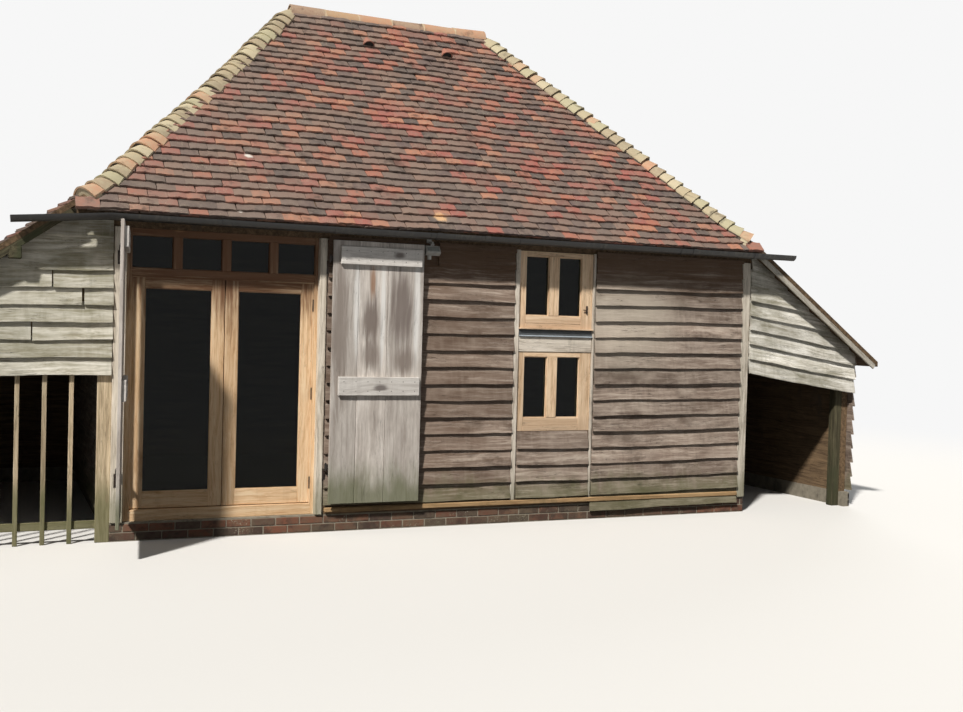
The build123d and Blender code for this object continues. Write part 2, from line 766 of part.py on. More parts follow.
def window(bottom, top):
    """One oak window of two lights set flush in the front wall."""
    y0 = -wall_y - window_proud
    y1 = y0 + window_depth
    first = window_left + light_left_jamb
    last = window_right - light_right_jamb
    width = (last - first - light_mullion) / 2
    glass_y = y0 + window_glass_proud
    half = glass_thickness / 2
    z0 = bottom + light_sill
    z1 = top - light_head
    timbers = [block(window_left, first, y0, y1, bottom, top),
               block(last, window_right, y0, y1, bottom, top),
               block(first, last, y0, y1, bottom, z0),
               block(first, last, y0, y1, z1, top),
               block(first + width, last - width, y0, y1, z0, z1)]
    slots = []
    for x in (first, last - width):
        pane = (x - glass_rebate, x + width + glass_rebate, glass_y - half, glass_y + half,
                z0 - glass_rebate, z1 + glass_rebate)
        slots.append(glass_slot(pane))
        keep("window_glass", block(*pane))
    keep("window_frames", *cut_all(timbers, slots))


def window_trim():
    """Cover strips, the board between the windows and the lead apron over it."""
    front = -wall_y
    face = front - cover_strip_thickness
    foot = drip_board_bottom + drip_board_height
    keep("window_trim",
         block(window_left - cover_strip_left, window_left, face, front, foot, plate_bottom),
         block(window_right, window_right + cover_strip_right, face, front, foot, plate_bottom),
         block(window_left + 2, window_right - 2, front - apron_thickness, front,
               lower_window_top, flashing_bottom - 2))
    lip = window_proud + 2
    lead = side_prism([(front, flashing_top), (front - lip, flashing_top),
                       (front - flashing_reach, flashing_bottom),
                       (front - flashing_reach + flashing_thickness, flashing_bottom),
                       (front - lip + flashing_thickness, flashing_top - flashing_thickness),
                       (front, flashing_top - flashing_thickness)],
                      window_left + 2, window_right - 2)
    keep("window_flashing", lead)


def half_pipe(length):
    """A half-round gutter along X from the origin, open side up, rim at Z = 0."""
    outer = Rot(0, 90, 0) * Cylinder(gutter_radius, length)
    inner = Rot(0, 90, 0) * Cylinder(gutter_radius - gutter_wall, length - 2 * gutter_wall)
    below = Pos(0, 0, -gutter_radius / 2) * Box(length, 2 * gutter_radius, gutter_radius)
    return Pos(length / 2, 0, 0) * ((outer - inner) & below)


def gutters():
    """Half-round gutters with their brackets; the left run droops past the hip."""
    y = -eaves_y + fascia_setback - gutter_fascia_gap - gutter_radius
    level = gutter_top
    main = Pos(-gutter_bend, y, level) * half_pipe(gutter_bend + gutter_right_end)
    tail_length = (gutter_left_end - gutter_bend) / math.cos(math.radians(gutter_droop))
    tail = Pos(-gutter_bend, y, level) * mirror_x(Rot(0, gutter_droop, 0) * half_pipe(tail_length))
    reach = 2 * gutter_radius
    clear = Pos(-gutter_bend, y, level) * Rot(0, 90, 0) * Cylinder(gutter_radius - gutter_wall, 2 * reach)
    above = block(-gutter_bend - reach, -gutter_bend + reach, y - gutter_radius, y + gutter_radius,
                  level, level + gutter_radius)
    keep("gutter_front", (main + tail) - clear - above)
    keep("gutter_back", Pos(-gutter_right_end, -y, level) * half_pipe(2 * gutter_right_end))
    first = -gutter_bend + gutter_bracket_inset
    spacing = (eaves_x - gutter_bracket_inset - first) / (gutter_bracket_count - 1)
    half = gutter_bracket_width / 2
    rim = gutter_radius + gutter_bracket_thickness
    low = level - rim
    high = level - gutter_bracket_drop
    for index in range(gutter_bracket_count):
        x = first + index * spacing
        axis = Pos(x, y, level) * Rot(0, 90, 0)
        strap = axis * Cylinder(rim, gutter_bracket_width)
        strap = strap - axis * Cylinder(gutter_radius, gutter_bracket_width + 2 * past)
        strap = strap & block(x - half, x + half, y - rim, y + rim, low, high)
        tab = block(x - half, x + half, y + gutter_radius, -eaves_y + fascia_setback,
                    high - gutter_bracket_tab, high)
        bracket = strap + tab
        keep("gutter_brackets", bracket, mirror_y(bracket))


def lamp():
    """Outside lamp on a tilting arm under the eaves, with its sensor below."""
    front = -wall_y
    centre = lamp_left + lamp_width / 2
    pivot_y = front - lamp_pivot_reach
    pivot_z = lamp_low - lamp_pivot_drop
    half = lamp_plate / 2
    low = lamp_low
    plate_face = front - lamp_plate_thickness
    plate = block(centre - half, centre + half, plate_face, front, low, low + lamp_plate)
    width = lamp_arm / 2
    arm = block(centre - width, centre + width, pivot_y, plate_face, low, low + lamp_arm)
    fork = block(centre - width, centre + width, pivot_y - width, pivot_y + width,
                 pivot_z - width, low + lamp_arm)
    ear_x = width + lamp_ear_gap
    pin_length = lamp_arm + 2 * (lamp_ear_gap + lamp_ear_thickness)
    pin = Pos(centre, pivot_y, pivot_z) * Rot(0, 90, 0) * Cylinder(lamp_pin_radius, pin_length)
    keep("lamp_bracket", plate + arm + fork + pin)
    head = Box(lamp_width, lamp_depth, lamp_height)
    head = fillet(head.edges().filter_by(Axis.X), lamp_edge_radius)
    head_z = pivot_z - lamp_height / 2 - lamp_pivot_lift
    head = Pos(centre, pivot_y, head_z) * Rot(-lamp_tilt, 0, 0) * head
    bore = Pos(centre, pivot_y, pivot_z) * Rot(0, 90, 0) * Cylinder(lamp_pin_radius + lamp_pin_gap,
                                                                    pin_length + 2 * past)
    for x0 in (centre - ear_x - lamp_ear_thickness, centre + ear_x):
        ear = block(x0, x0 + lamp_ear_thickness, pivot_y - lamp_ear_width / 2, pivot_y + lamp_ear_width / 2,
                    pivot_z - lamp_ear_drop, pivot_z + lamp_ear_width / 2)
        head = head + (ear - bore)
    sensor_x = centre - sensor_offset
    sensor_z = pivot_z - sensor_drop
    head = head + Pos(sensor_x, pivot_y, sensor_z) * Cylinder(sensor_radius, sensor_length)
    neck_z = pivot_z - sensor_neck_drop
    head = head + Pos(sensor_x, pivot_y, neck_z) * Cylinder(sensor_neck_radius, sensor_neck_length)
    keep("lamp_head", head)


roof_slopes()
plates = wall_plates()
keep("wall_plates", *plates)
roof_frame = rafters(plates)
fascias()
ridge_and_hips()
base()
walls()
leanto_walls(roof_frame)
store_slats()
door_frame()
glazed_leaf(-1)
glazed_leaf(1)
outer_leaves()
window(upper_window_bottom, upper_window_top)
window(lower_window_bottom, lower_window_top)
window_trim()
gutters()
lamp()

os.makedirs("parts", exist_ok=True)
for node, solids in parts.items():
    shape = solids[0] if len(solids) == 1 else Compound(children=solids)
    export_step(shape, "parts/" + node + ".step")
print(len(parts), "nodes,", sum(len(solids) for solids in parts.values()), "solids")
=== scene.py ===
import logging
import math
from dataclasses import dataclass, field, replace
from enum import Enum
from typing import Callable, Optional, Sequence, Union

import bpy
import numpy as np
from mathutils import Matrix


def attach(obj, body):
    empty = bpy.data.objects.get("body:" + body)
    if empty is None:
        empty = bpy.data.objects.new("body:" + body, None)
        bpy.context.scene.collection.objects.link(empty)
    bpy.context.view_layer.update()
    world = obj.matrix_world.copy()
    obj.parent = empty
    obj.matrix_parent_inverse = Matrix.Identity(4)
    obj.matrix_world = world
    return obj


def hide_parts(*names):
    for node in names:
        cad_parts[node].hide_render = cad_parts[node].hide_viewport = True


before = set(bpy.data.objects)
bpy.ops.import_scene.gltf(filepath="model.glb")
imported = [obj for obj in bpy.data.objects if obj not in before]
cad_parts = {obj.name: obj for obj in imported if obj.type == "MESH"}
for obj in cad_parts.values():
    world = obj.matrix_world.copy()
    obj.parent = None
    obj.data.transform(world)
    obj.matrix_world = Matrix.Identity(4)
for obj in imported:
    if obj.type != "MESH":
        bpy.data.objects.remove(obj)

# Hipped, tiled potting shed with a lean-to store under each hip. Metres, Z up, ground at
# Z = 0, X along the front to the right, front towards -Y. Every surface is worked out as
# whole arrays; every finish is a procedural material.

logging.basicConfig(level=logging.INFO, format="%(name)s: %(message)s")
log = logging.getLogger("potting_shed")

Array = np.ndarray
Point = tuple[float, float, float]
Socket = bpy.types.NodeSocket
Value = Union[Socket, float, tuple]
Inputs = dict[Union[str, int], Value]

UP = (0.0, 0.0, 1.0)
RIGHT, LEFT = (1.0, 0.0, 0.0), (-1.0, 0.0, 0.0)
FRONT, BACK = (0.0, -1.0, 0.0), (0.0, 1.0, 0.0)

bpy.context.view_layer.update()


class Body(Enum):
    """The rigid bodies that pieces ride on."""

    SHED = "shed"
    GLAZED_LEFT = "glazed_leaf_left"
    GLAZED_RIGHT = "glazed_leaf_right"
    OUTER_LEFT = "outer_leaf_left"
    OUTER_RIGHT = "outer_leaf_right"
    LAMP = "lamp_head"


class Axis(Enum):
    """The way a timber's grain runs."""

    X = 0
    Y = 1
    Z = 2


class GrainFrom(Enum):
    """Where a wood finish reads the run of its grain."""

    TIMBER = "grain"
    PLACE = "place"


# ---------------------------------------------------------------- numbers and surfaces


class Dice:
    """Seeded random numbers, so that every run draws the same building."""

    def __init__(self, seed: int) -> None:
        """Start a stream of numbers from a seed."""
        self._stream = np.random.default_rng(seed)

    def spread(self, shape: Union[int, tuple], reach: float) -> Array:
        """Even numbers between minus and plus reach."""
        return self._stream.uniform(-reach, reach, shape)

    def between(self, shape: Union[int, tuple], low: float, high: float) -> Array:
        """Even numbers between two limits."""
        return self._stream.uniform(low, high, shape)

    def tone(self, count: int) -> Array:
        """One number from 0 to 1 for each piece."""
        return self._stream.uniform(0.0, 1.0, count)


def ripple(where: Array, phase: Array, length: float) -> Array:
    """Uneven wave between about -1 and 1.

    Formula: a sum of four sines, each 2.3 times shorter and 0.55 times lower than the one
    before, with a phase that differs for every piece.

    Args:
        where: distance along the piece, in metres.
        phase: a number for each piece, of a shape that fits where.
        length: the longest wave, in metres.

    Returns:
        The wave's height, of the same shape as where.
    """
    sines, shorter, lower = 4, 2.3, 0.55
    total = np.zeros(np.broadcast(where, phase).shape)
    height = 0.0
    for octave in range(sines):
        size = lower ** octave
        turn = 2.0 * math.pi * shorter ** octave / length
        total += size * np.sin(turn * where + phase * (12.9 + 7.7 * octave))
        height += size
    return total / (0.75 * height)


def down(*places: float) -> Array:
    """Places along a piece, set down the rows of a grid."""
    return np.array(places)[None, :, None]


def over(low: float, high: float, count: int) -> Array:
    """Even places across a piece, set over the columns of a grid."""
    return np.linspace(low, high, count)[None, None, :]


def slab_faces(rows: int, columns: int) -> Array:
    """Quads of a closed slab: a front grid, a back grid and the rim that joins them.

    Args:
        rows: points along the slab.
        columns: points across it.

    Returns:
        Four point numbers for each quad; the back grid's numbers follow the front's.
    """
    index = np.arange(rows * columns).reshape(rows, columns)
    front = np.stack([index[:-1, :-1], index[1:, :-1], index[1:, 1:], index[:-1, 1:]], -1)
    front = front.reshape(-1, 4)
    size = rows * columns
    ring = np.concatenate([index[:, 0], index[-1, 1:], index[-2::-1, -1], index[0, -2:0:-1]])
    following = np.roll(ring, -1)
    rim = np.stack([following, ring, ring + size, following + size], -1)
    return np.concatenate([front, front[:, ::-1] + size, rim])


def placed(name: str, data: bpy.types.ID,
           columns: Optional[Sequence[Sequence[float]]] = None) -> bpy.types.Object:
    """Put a new object in the scene.

    Args:
        name: the object's name.
        data: its mesh, camera or lamp.
        columns: its three axes and its place, where they are not the world's own.

    Returns:
        The object.
    """
    thing = bpy.data.objects.new(name, data)
    bpy.context.scene.collection.objects.link(thing)
    if columns is not None:
        turn = np.eye(4)
        turn[:3] = np.stack(columns, 1)
        thing.matrix_world = Matrix(turn.tolist())
    return thing


@dataclass(frozen=True)
class Timber:
    """A squared timber between two corners, with its grain along one axis."""

    low: Point
    high: Point
    grain: Axis


@dataclass
class Heap:
    """Many small closed solids, gathered as arrays and made into one mesh.

    Each point carries its own place along, across and through its piece, for the grain,
    and a tone from 0 to 1 that is the same all over a piece.
    """

    points: list[Array] = field(default_factory=list)
    faces: list[Array] = field(default_factory=list)
    grain: list[Array] = field(default_factory=list)
    tone: list[Array] = field(default_factory=list)
    total: int = 0

    def add(self, points: Array, faces: Sequence[Array], grain: Array, tone: Array) -> None:
        """Add copies that share their faces.

        Args:
            points: (copies, points, 3) places.
            faces: arrays of point numbers of one copy, each with faces of one size.
            grain: (copies, points, 3) places within each piece.
            tone: one number for each copy.
        """
        copies, size = points.shape[:2]
        start = self.total + np.arange(copies)[:, None, None] * size
        for group in faces:
            self.faces.append((start + group[None]).reshape(-1, group.shape[1]))
        self.points.append(points.reshape(-1, 3))
        self.grain.append(grain.reshape(-1, 3))
        self.tone.append(np.repeat(tone, size))
        self.total += copies * size

    def slabs(self, front: Array, back: Array, tone: Union[Array, float],
              grain: Optional[Sequence[Array]] = None) -> None:
        """Add closed slabs, each between a front and a back grid.

        The quads are turned round where needed, so that they face from back to front.

        Args:
            front: (copies, rows, columns, 3) places of the outer faces.
            back: the same for the inner faces.
            tone: one number for each copy, or for all of them.
            grain: places within each piece, for the front and the back grid, where they
                are not the places themselves.
        """
        copies, rows, columns = front.shape[:3]
        faces = slab_faces(rows, columns)
        down = front[:, 1:, :-1] - front[:, :-1, :-1]
        over = front[:, :-1, 1:] - front[:, :-1, :-1]
        outward = (front - back)[:, :-1, :-1]
        if (np.cross(down, over) * outward).sum() < 0:
            faces = faces[:, ::-1]
        stack = (copies, rows * columns, 3)
        points = np.concatenate([front.reshape(stack), back.reshape(stack)], 1)
        inner = np.concatenate([part.reshape(stack) for part in grain], 1) if grain else points
        self.add(points, [faces], inner, np.full(copies, tone))

    def beams(self, origin: Array, axes: Array, size: Array, dice: Dice,
              chamfer: float = 0.003, bow: float = 0.0, stations: int = 2) -> None:
        """Add straight timbers whose edges are planed off.

        Formula: place = origin + length, width and thickness along the three axes. In a
        strip of the chamfer's width along every edge, each size gives way to the next.

        Args:
            origin: (count, 3) corner of each timber.
            axes: (count, 3, 3) unit vectors along, across and through each timber.
            size: (count, 3) length, width and thickness.
            dice: random numbers for tone, grain and bow.
            chamfer: width of the planed edge.
            bow: how far a timber strays from straight.
            stations: points along each timber between its planed ends.
        """
        count = len(size)
        cut = np.minimum(chamfer, size.min(1) / 3.0)[:, None]
        share = np.linspace(0.0, 1.0, stations)[None]
        middle = cut + share * (size[:, :1] - 2.0 * cut)
        length = np.concatenate([0.0 * cut, middle, size[:, :1]], 1)[:, :, None]
        inset = np.concatenate([cut, 0.0 * middle, cut], 1)[:, :, None]
        wide, thick, cut = size[:, 1, None, None], size[:, 2, None, None], cut[:, :, None]
        across = np.concatenate([inset, cut + inset, wide - cut - inset, wide - inset], 2)
        sway = bow * ripple(length, dice.spread((count, 1, 1), 50.0), 3.0)
        near = np.concatenate([cut + inset, inset, inset, cut + inset], 2)
        shift = dice.spread((count, 1, 1, 3), 20.0)
        grids = [np.stack([length + 0.0 * across, across, out + sway], -1)
                 for out in (thick - near, near)]
        self.slabs(*(origin[:, None, None] + np.einsum("nrcl,nlk->nrck", grid, axes)
                     for grid in grids), dice.tone(count), [grid + shift for grid in grids])

    def timbers(self, timbers: Sequence[Timber], dice: Dice, chamfer: float = 0.003,
                bow: float = 0.0) -> None:
        """Add squared timbers given by their corners, one batch for each run of grain.

        Args:
            timbers: the timbers.
            dice: random numbers for tone and grain.
            chamfer: width of the planed edge.
            bow: how far a timber strays from straight.
        """
        for axis in Axis:
            batch = [timber for timber in timbers if timber.grain is axis]
            if not batch:
                continue
            order = [(axis.value + step) % 3 for step in range(3)]
            low = np.array([timber.low for timber in batch])
            high = np.array([timber.high for timber in batch])
            axes = np.repeat(np.eye(3)[order][None], len(batch), 0)
            self.beams(low, axes, (high - low)[:, order], dice, chamfer, bow)

    def domes(self, centre: Array, out: Array, radius: float, dice: Dice) -> None:
        """Add low six-sided nail heads.

        Formula: rings of six points, the lower at the full radius on the surface, the
        upper at 0.6 of it and 0.5 of it further out.

        Args:
            centre: (count, 3) middle of each head on its surface.
            out: unit vector away from the surface.
            radius: size of a head.
            dice: random numbers for tone.
        """
        side = np.cross(out, UP)
        side = side / np.linalg.norm(side)
        up = np.cross(side, out)
        turn = np.arange(6) * math.pi / 3.0
        ring = np.cos(turn)[:, None] * side + np.sin(turn)[:, None] * up
        local = radius * np.concatenate([ring - 0.3 * out, 0.6 * ring + 0.5 * out])
        points = centre[:, None] + local[None]
        step = np.arange(6)
        after = (step + 1) % 6
        sides = np.stack([step, after, after + 6, step + 6], -1)
        caps = np.stack([step[::-1], step + 6])
        self.add(points, [sides[:, ::-1], caps], points, dice.tone(len(centre)))

    def turn(self, pivot: Array, angle: float) -> None:
        """Turn everything so far about an upright line through pivot, by radians."""
        cos, sin = math.cos(angle), math.sin(angle)
        spin = np.array([[cos, sin, 0.0], [-sin, cos, 0.0], UP])
        self.points = [(points - pivot) @ spin + pivot for points in self.points]

    def mesh(self, name: str, smooth: Optional[float] = None) -> bpy.types.Object:
        """Make the gathered solids into one object at the origin.

        Args:
            name: the object's name.
            smooth: edges flatter than this angle, in radians, are shaded smooth.

        Returns:
            The new object.
        """
        mesh = bpy.data.meshes.new(name)
        points = np.concatenate(self.points)
        corners = np.concatenate([group.ravel() for group in self.faces])
        sizes = np.concatenate([np.full(len(group), group.shape[1]) for group in self.faces])
        starts = np.concatenate([[0], np.cumsum(sizes)[:-1]])
        mesh.vertices.add(len(points))
        mesh.vertices.foreach_set("co", points.ravel())
        mesh.loops.add(len(corners))
        mesh.loops.foreach_set("vertex_index", corners.astype(np.int32))
        mesh.polygons.add(len(sizes))
        mesh.polygons.foreach_set("loop_start", starts.astype(np.int32))
        grain = mesh.attributes.new("grain", "FLOAT_VECTOR", "POINT")
        grain.data.foreach_set("vector", np.concatenate(self.grain).ravel())
        tone = mesh.attributes.new("tone", "FLOAT", "POINT")
        tone.data.foreach_set("value", np.concatenate(self.tone))
        mesh.update(calc_edges=True)
        mesh.validate()
        if smooth is not None:
            mesh.polygons.foreach_set("use_smooth", np.ones(len(mesh.polygons), dtype=bool))
            mesh.set_sharp_from_angle(angle=smooth)
        return placed(name, mesh)


# ---------------------------------------------------------------- finishes


def srgb(red: int, green: int, blue: int) -> tuple[float, float, float, float]:
    """A colour read as 0-255 screen values, as Blender's linear colour."""
    screen = np.array([red, green, blue]) / 255.0
    linear = np.where(screen <= 0.04045, screen / 12.92, ((screen + 0.055) / 1.055) ** 2.4)
    return (*linear.tolist(), 1.0)


class Graph:
    """A node tree being written, with short names for the usual steps."""

    def __init__(self, tree: bpy.types.NodeTree) -> None:
        """Take over a tree."""
        self.tree = tree

    @classmethod
    def emptied(cls, owner: Union[bpy.types.Material, bpy.types.World]) -> "Graph":
        """Graph of a material or world, with its nodes switched on and cleared."""
        owner.use_nodes = True
        owner.node_tree.nodes.clear()
        return cls(owner.node_tree)

    def fill(self, node: bpy.types.Node, inputs: Inputs) -> None:
        """Link sockets, or set values, on a node's inputs."""
        for key, value in inputs.items():
            if isinstance(value, bpy.types.NodeSocket):
                self.tree.links.new(value, node.inputs[key])
            else:
                node.inputs[key].default_value = value

    def node(self, kind: str, inputs: Optional[Inputs] = None,
             **settings: object) -> bpy.types.Node:
        """Add a node.

        Args:
            kind: Blender's name for the node's type.
            inputs: sockets to link or values to set, by input name or number.
            settings: properties of the node itself.

        Returns:
            The node.
        """
        node = self.tree.nodes.new(kind)
        for name, setting in settings.items():
            setattr(node, name, setting)
        self.fill(node, inputs or {})
        return node

    def math(self, operation: str, first: Value, second: Value,
             clamp: bool = False) -> Socket:
        """One sum of two numbers."""
        return self.node("ShaderNodeMath", {0: first, 1: second}, operation=operation,
                         use_clamp=clamp).outputs[0]

    def plus(self, first: Value, second: Value, clamp: bool = False) -> Socket:
        """Two numbers added."""
        return self.math("ADD", first, second, clamp)

    def minus(self, first: Value, second: Value) -> Socket:
        """The second number taken from the first."""
        return self.math("SUBTRACT", first, second)

    def times(self, first: Value, second: Value) -> Socket:
        """Two numbers multiplied."""
        return self.math("MULTIPLY", first, second)

    def vector(self, operation: str, first: Value, second: Value) -> Socket:
        """One sum of two vectors."""
        return self.node("ShaderNodeVectorMath", {0: first, 1: second},
                         operation=operation).outputs[0]

    def stretch(self, vector: Value, factors: Value) -> Socket:
        """A vector with each axis multiplied by its own factor."""
        return self.vector("MULTIPLY", vector, factors)

    def shift(self, vector: Value, step: Value) -> Socket:
        """The sum of two vectors."""
        return self.vector("ADD", vector, step)

    def length(self, vector: Value) -> Socket:
        """A vector's length."""
        return self.node("ShaderNodeVectorMath", {0: vector}, operation="LENGTH").outputs[1]

    def parts(self, vector: Value) -> Sequence[Socket]:
        """A vector's three parts."""
        return self.node("ShaderNodeSeparateXYZ", {0: vector}).outputs

    def joined(self, *parts: Value) -> Socket:
        """A vector made of three parts."""
        return self.node("ShaderNodeCombineXYZ", dict(enumerate(parts))).outputs[0]

    def band(self, value: Value, low: float, high: float, to_low: float = 0.0,
             to_high: float = 1.0) -> Socket:
        """A number moved from one range to another, held at the ends, eased between."""
        return self.node("ShaderNodeMapRange",
                         {0: value, 1: low, 2: high, 3: to_low, 4: to_high},
                         interpolation_type="SMOOTHSTEP").outputs[0]

    def noise(self, vector: Value, scale: float, detail: float = 4.0,
              roughness: float = 0.55) -> Socket:
        """Soft noise around 0.5."""
        node = self.node("ShaderNodeTexNoise", {"Vector": vector, "Scale": scale,
                                                "Detail": detail, "Roughness": roughness})
        return node.outputs["Fac"]

    def cells(self, vector: Value, scale: float) -> Socket:
        """Distance from the middles of scattered cells."""
        node = self.node("ShaderNodeTexVoronoi", {"Vector": vector, "Scale": scale})
        return node.outputs["Distance"]

    def mix(self, mask: Value, first: Value, second: Value) -> Socket:
        """Two colours mixed by a mask."""
        return self.node("ShaderNodeMix", {0: mask, 6: first, 7: second}, data_type="RGBA",
                         blend_type="MIX").outputs[2]

    def ramp(self, value: Value, stops: Sequence[tuple[float, tuple]],
             steps: bool = False) -> Socket:
        """A colour looked up along a scale.

        Args:
            value: where on the scale, from 0 to 1.
            stops: places on the scale and their colours.
            steps: whether each colour holds up to the next stop.

        Returns:
            The colour.
        """
        node = self.node("ShaderNodeValToRGB", {0: value})
        node.color_ramp.interpolation = "CONSTANT" if steps else "LINEAR"
        elements = node.color_ramp.elements
        while len(elements) < len(stops):
            elements.new(1.0)
        for element, (place, colour) in zip(elements, stops):
            element.position = place
            element.color = colour
        return node.outputs[0]

    def place(self) -> Socket:
        """Place on the object, in metres in the building's frame."""
        return self.node("ShaderNodeTexCoord").outputs["Object"]

    def grain(self) -> Socket:
        """Place within the piece, carried by the mesh."""
        return self.node("ShaderNodeAttribute", attribute_name="grain").outputs["Vector"]

    def tone(self) -> Socket:
        """Number of the piece from 0 to 1, carried by the mesh."""
        return self.node("ShaderNodeAttribute", attribute_name="tone").outputs["Fac"]

    def effect(self, effect: "Effect", vector: Value, **amounts: Value) -> Sequence[Socket]:
        """Outputs of a shared effect."""
        return self.node("ShaderNodeGroup", {"Vector": vector, **amounts},
                         node_tree=effect.tree()).outputs


@dataclass(frozen=True)
class Effect:
    """A shader node group that several finishes share, built the first time it is asked for.

    It takes a vector and some amounts, and gives numbers.
    """

    name: str
    recipe: Callable[[Graph, dict[str, Socket]], dict[str, Socket]]
    amounts: tuple[str, ...] = ()
    outputs: tuple[str, ...] = ("Mask",)

    def tree(self) -> bpy.types.NodeTree:
        """The group's node tree."""
        found = bpy.data.node_groups.get(self.name)
        if found:
            return found
        tree = bpy.data.node_groups.new(self.name, "ShaderNodeTree")
        tree.interface.new_socket("Vector", in_out="INPUT", socket_type="NodeSocketVector")
        for labels, way in ((self.amounts, "INPUT"), (self.outputs, "OUTPUT")):
            for label in labels:
                tree.interface.new_socket(label, in_out=way, socket_type="NodeSocketFloat")
        graph = Graph(tree)
        source = graph.node("NodeGroupInput").outputs
        given = {label: source[label] for label in ("Vector", *self.amounts)}
        graph.node("NodeGroupOutput", dict(self.recipe(graph, given)))
        return tree


def wood_recipe(graph: Graph, given: dict[str, Socket]) -> dict[str, Socket]:
    """Fibres, growth figure, drying cracks and knots from a place measured along the grain.

    Fibres are noise drawn out 46 times along the grain, the figure is noise drawn out 21
    times and bent by slow noise, cracks are the thin dark lines of a drawn-out noise near
    its middle value, and knots are small cells.
    """
    place = given["Vector"]
    slow = graph.node("ShaderNodeTexNoise", {"Vector": graph.stretch(place, (1.3, 4.0, 4.0)),
                                             "Scale": 1.0, "Detail": 2.0})
    bent = graph.shift(place, graph.stretch(slow.outputs["Color"], (0.0, 0.09, 0.09)))
    fibre = graph.noise(graph.stretch(bent, (5.0, 230.0, 230.0)), 1.0, 3.0, 0.65)
    figure = graph.noise(graph.stretch(bent, (1.6, 34.0, 34.0)), 1.0, 4.0, 0.6)
    line = graph.noise(graph.stretch(bent, (2.2, 70.0, 70.0)), 1.0, 2.0, 0.5)
    near = graph.math("ABSOLUTE", graph.minus(line, 0.5), 0.0)
    where = graph.band(graph.noise(graph.stretch(place, (2.4, 9.0, 9.0)), 1.0, 2.0), 0.5, 0.62)
    crack = graph.times(graph.band(near, 0.0, 0.016, 1.0, 0.0), where)
    knot = graph.band(graph.cells(graph.stretch(bent, (2.1, 6.5, 6.5)), 1.0), 0.05, 0.13,
                      1.0, 0.0)
    return {"Fibre": fibre, "Figure": figure, "Crack": crack, "Knot": knot}


def blotch_recipe(graph: Graph, given: dict[str, Socket]) -> dict[str, Socket]:
    """Uneven stains: wide noise over a limit that falls with the amount, faded by softness."""
    wide = graph.noise(given["Vector"], 1.0, 5.0, 0.62)
    edge = graph.minus(0.78, graph.times(given["Amount"], 0.56))
    over = graph.math("DIVIDE", graph.minus(wide, edge), given["Softness"])
    return {"Mask": graph.band(over, -1.0, 1.8)}


def streak_recipe(graph: Graph, given: dict[str, Socket]) -> dict[str, Socket]:
    """Rain streaks: noise drawn out upright, broken up by wider noise."""
    fine = graph.noise(graph.stretch(given["Vector"], (26.0, 26.0, 1.1)), 1.0, 4.0, 0.6)
    wide = graph.noise(graph.stretch(given["Vector"], (2.2, 2.2, 1.4)), 1.0, 3.0)
    return {"Mask": graph.times(graph.band(fine, 0.46, 0.68), graph.band(wide, 0.42, 0.6))}


def foot_recipe(graph: Graph, given: dict[str, Socket]) -> dict[str, Socket]:
    """Green and dirt splashed up from the ground, with a ragged upper edge."""
    ragged = graph.noise(graph.stretch(given["Vector"], (9.0, 9.0, 3.0)), 1.0, 4.0)
    level = graph.plus(graph.parts(given["Vector"])[2],
                       graph.times(graph.minus(ragged, 0.5), 0.5))
    return {"Mask": graph.band(graph.math("DIVIDE", level, given["Height"]), 0.45, 1.0, 1.0, 0.0)}


def grit_recipe(graph: Graph, given: dict[str, Socket]) -> dict[str, Socket]:
    """Sandy surface: fine and coarse noise for height, and pits where cells are small."""
    fine = graph.noise(given["Vector"], 260.0, 3.0, 0.7)
    coarse = graph.noise(given["Vector"], 38.0, 4.0, 0.6)
    pits = graph.band(graph.cells(given["Vector"], 120.0), 0.05, 0.3)
    sand = graph.plus(graph.times(fine, 0.35), graph.times(coarse, 0.65))
    return {"Height": graph.plus(sand, graph.times(pits, 0.15)),
            "Shade": graph.band(coarse, 0.3, 0.7)}


WOOD = Effect("Wood grain", wood_recipe, outputs=("Fibre", "Figure", "Crack", "Knot"))
BLOTCHES = Effect("Blotches", blotch_recipe, ("Amount", "Softness"))
STREAKS = Effect("Rain streaks", streak_recipe)
SPLASH = Effect("Splash at the foot", foot_recipe, ("Height",))
GRIT = Effect("Grit", grit_recipe, outputs=("Height", "Shade"))


@dataclass(frozen=True)
class Finish:
    """What every finish has: a name, and a shader that its colour and surface go to."""

    name: str

    def start(self) -> tuple[bpy.types.Material, Graph, bpy.types.Node]:
        """An empty material with its graph and its Principled shader."""
        material = bpy.data.materials.new(self.name)
        graph = Graph.emptied(material)
        shader = graph.node("ShaderNodeBsdfPrincipled")
        graph.node("ShaderNodeOutputMaterial", {0: shader.outputs[0]})
        return material, graph, shader

    @staticmethod
    def surface(graph: Graph, shader: bpy.types.Node, colour: Value, rough: Value,
                bump: tuple[float, float, Value], **constants: float) -> None:
        """Give the shader its look.

        Args:
            graph: the material's graph.
            shader: its Principled shader.
            colour: the base colour.
            rough: the roughness.
            bump: strength, depth in metres and height of the surface's relief.
            constants: other inputs of the shader; underscores stand for spaces.
        """
        strength, depth, height = bump
        relief = graph.node("ShaderNodeBump", {"Strength": strength, "Distance": depth,
                                               "Height": height})
        graph.fill(shader, {"Base Color": colour, "Roughness": rough,
                            "Normal": relief.outputs[0]})
        for label, constant in constants.items():
            shader.inputs[label.replace("_", " ")].default_value = constant


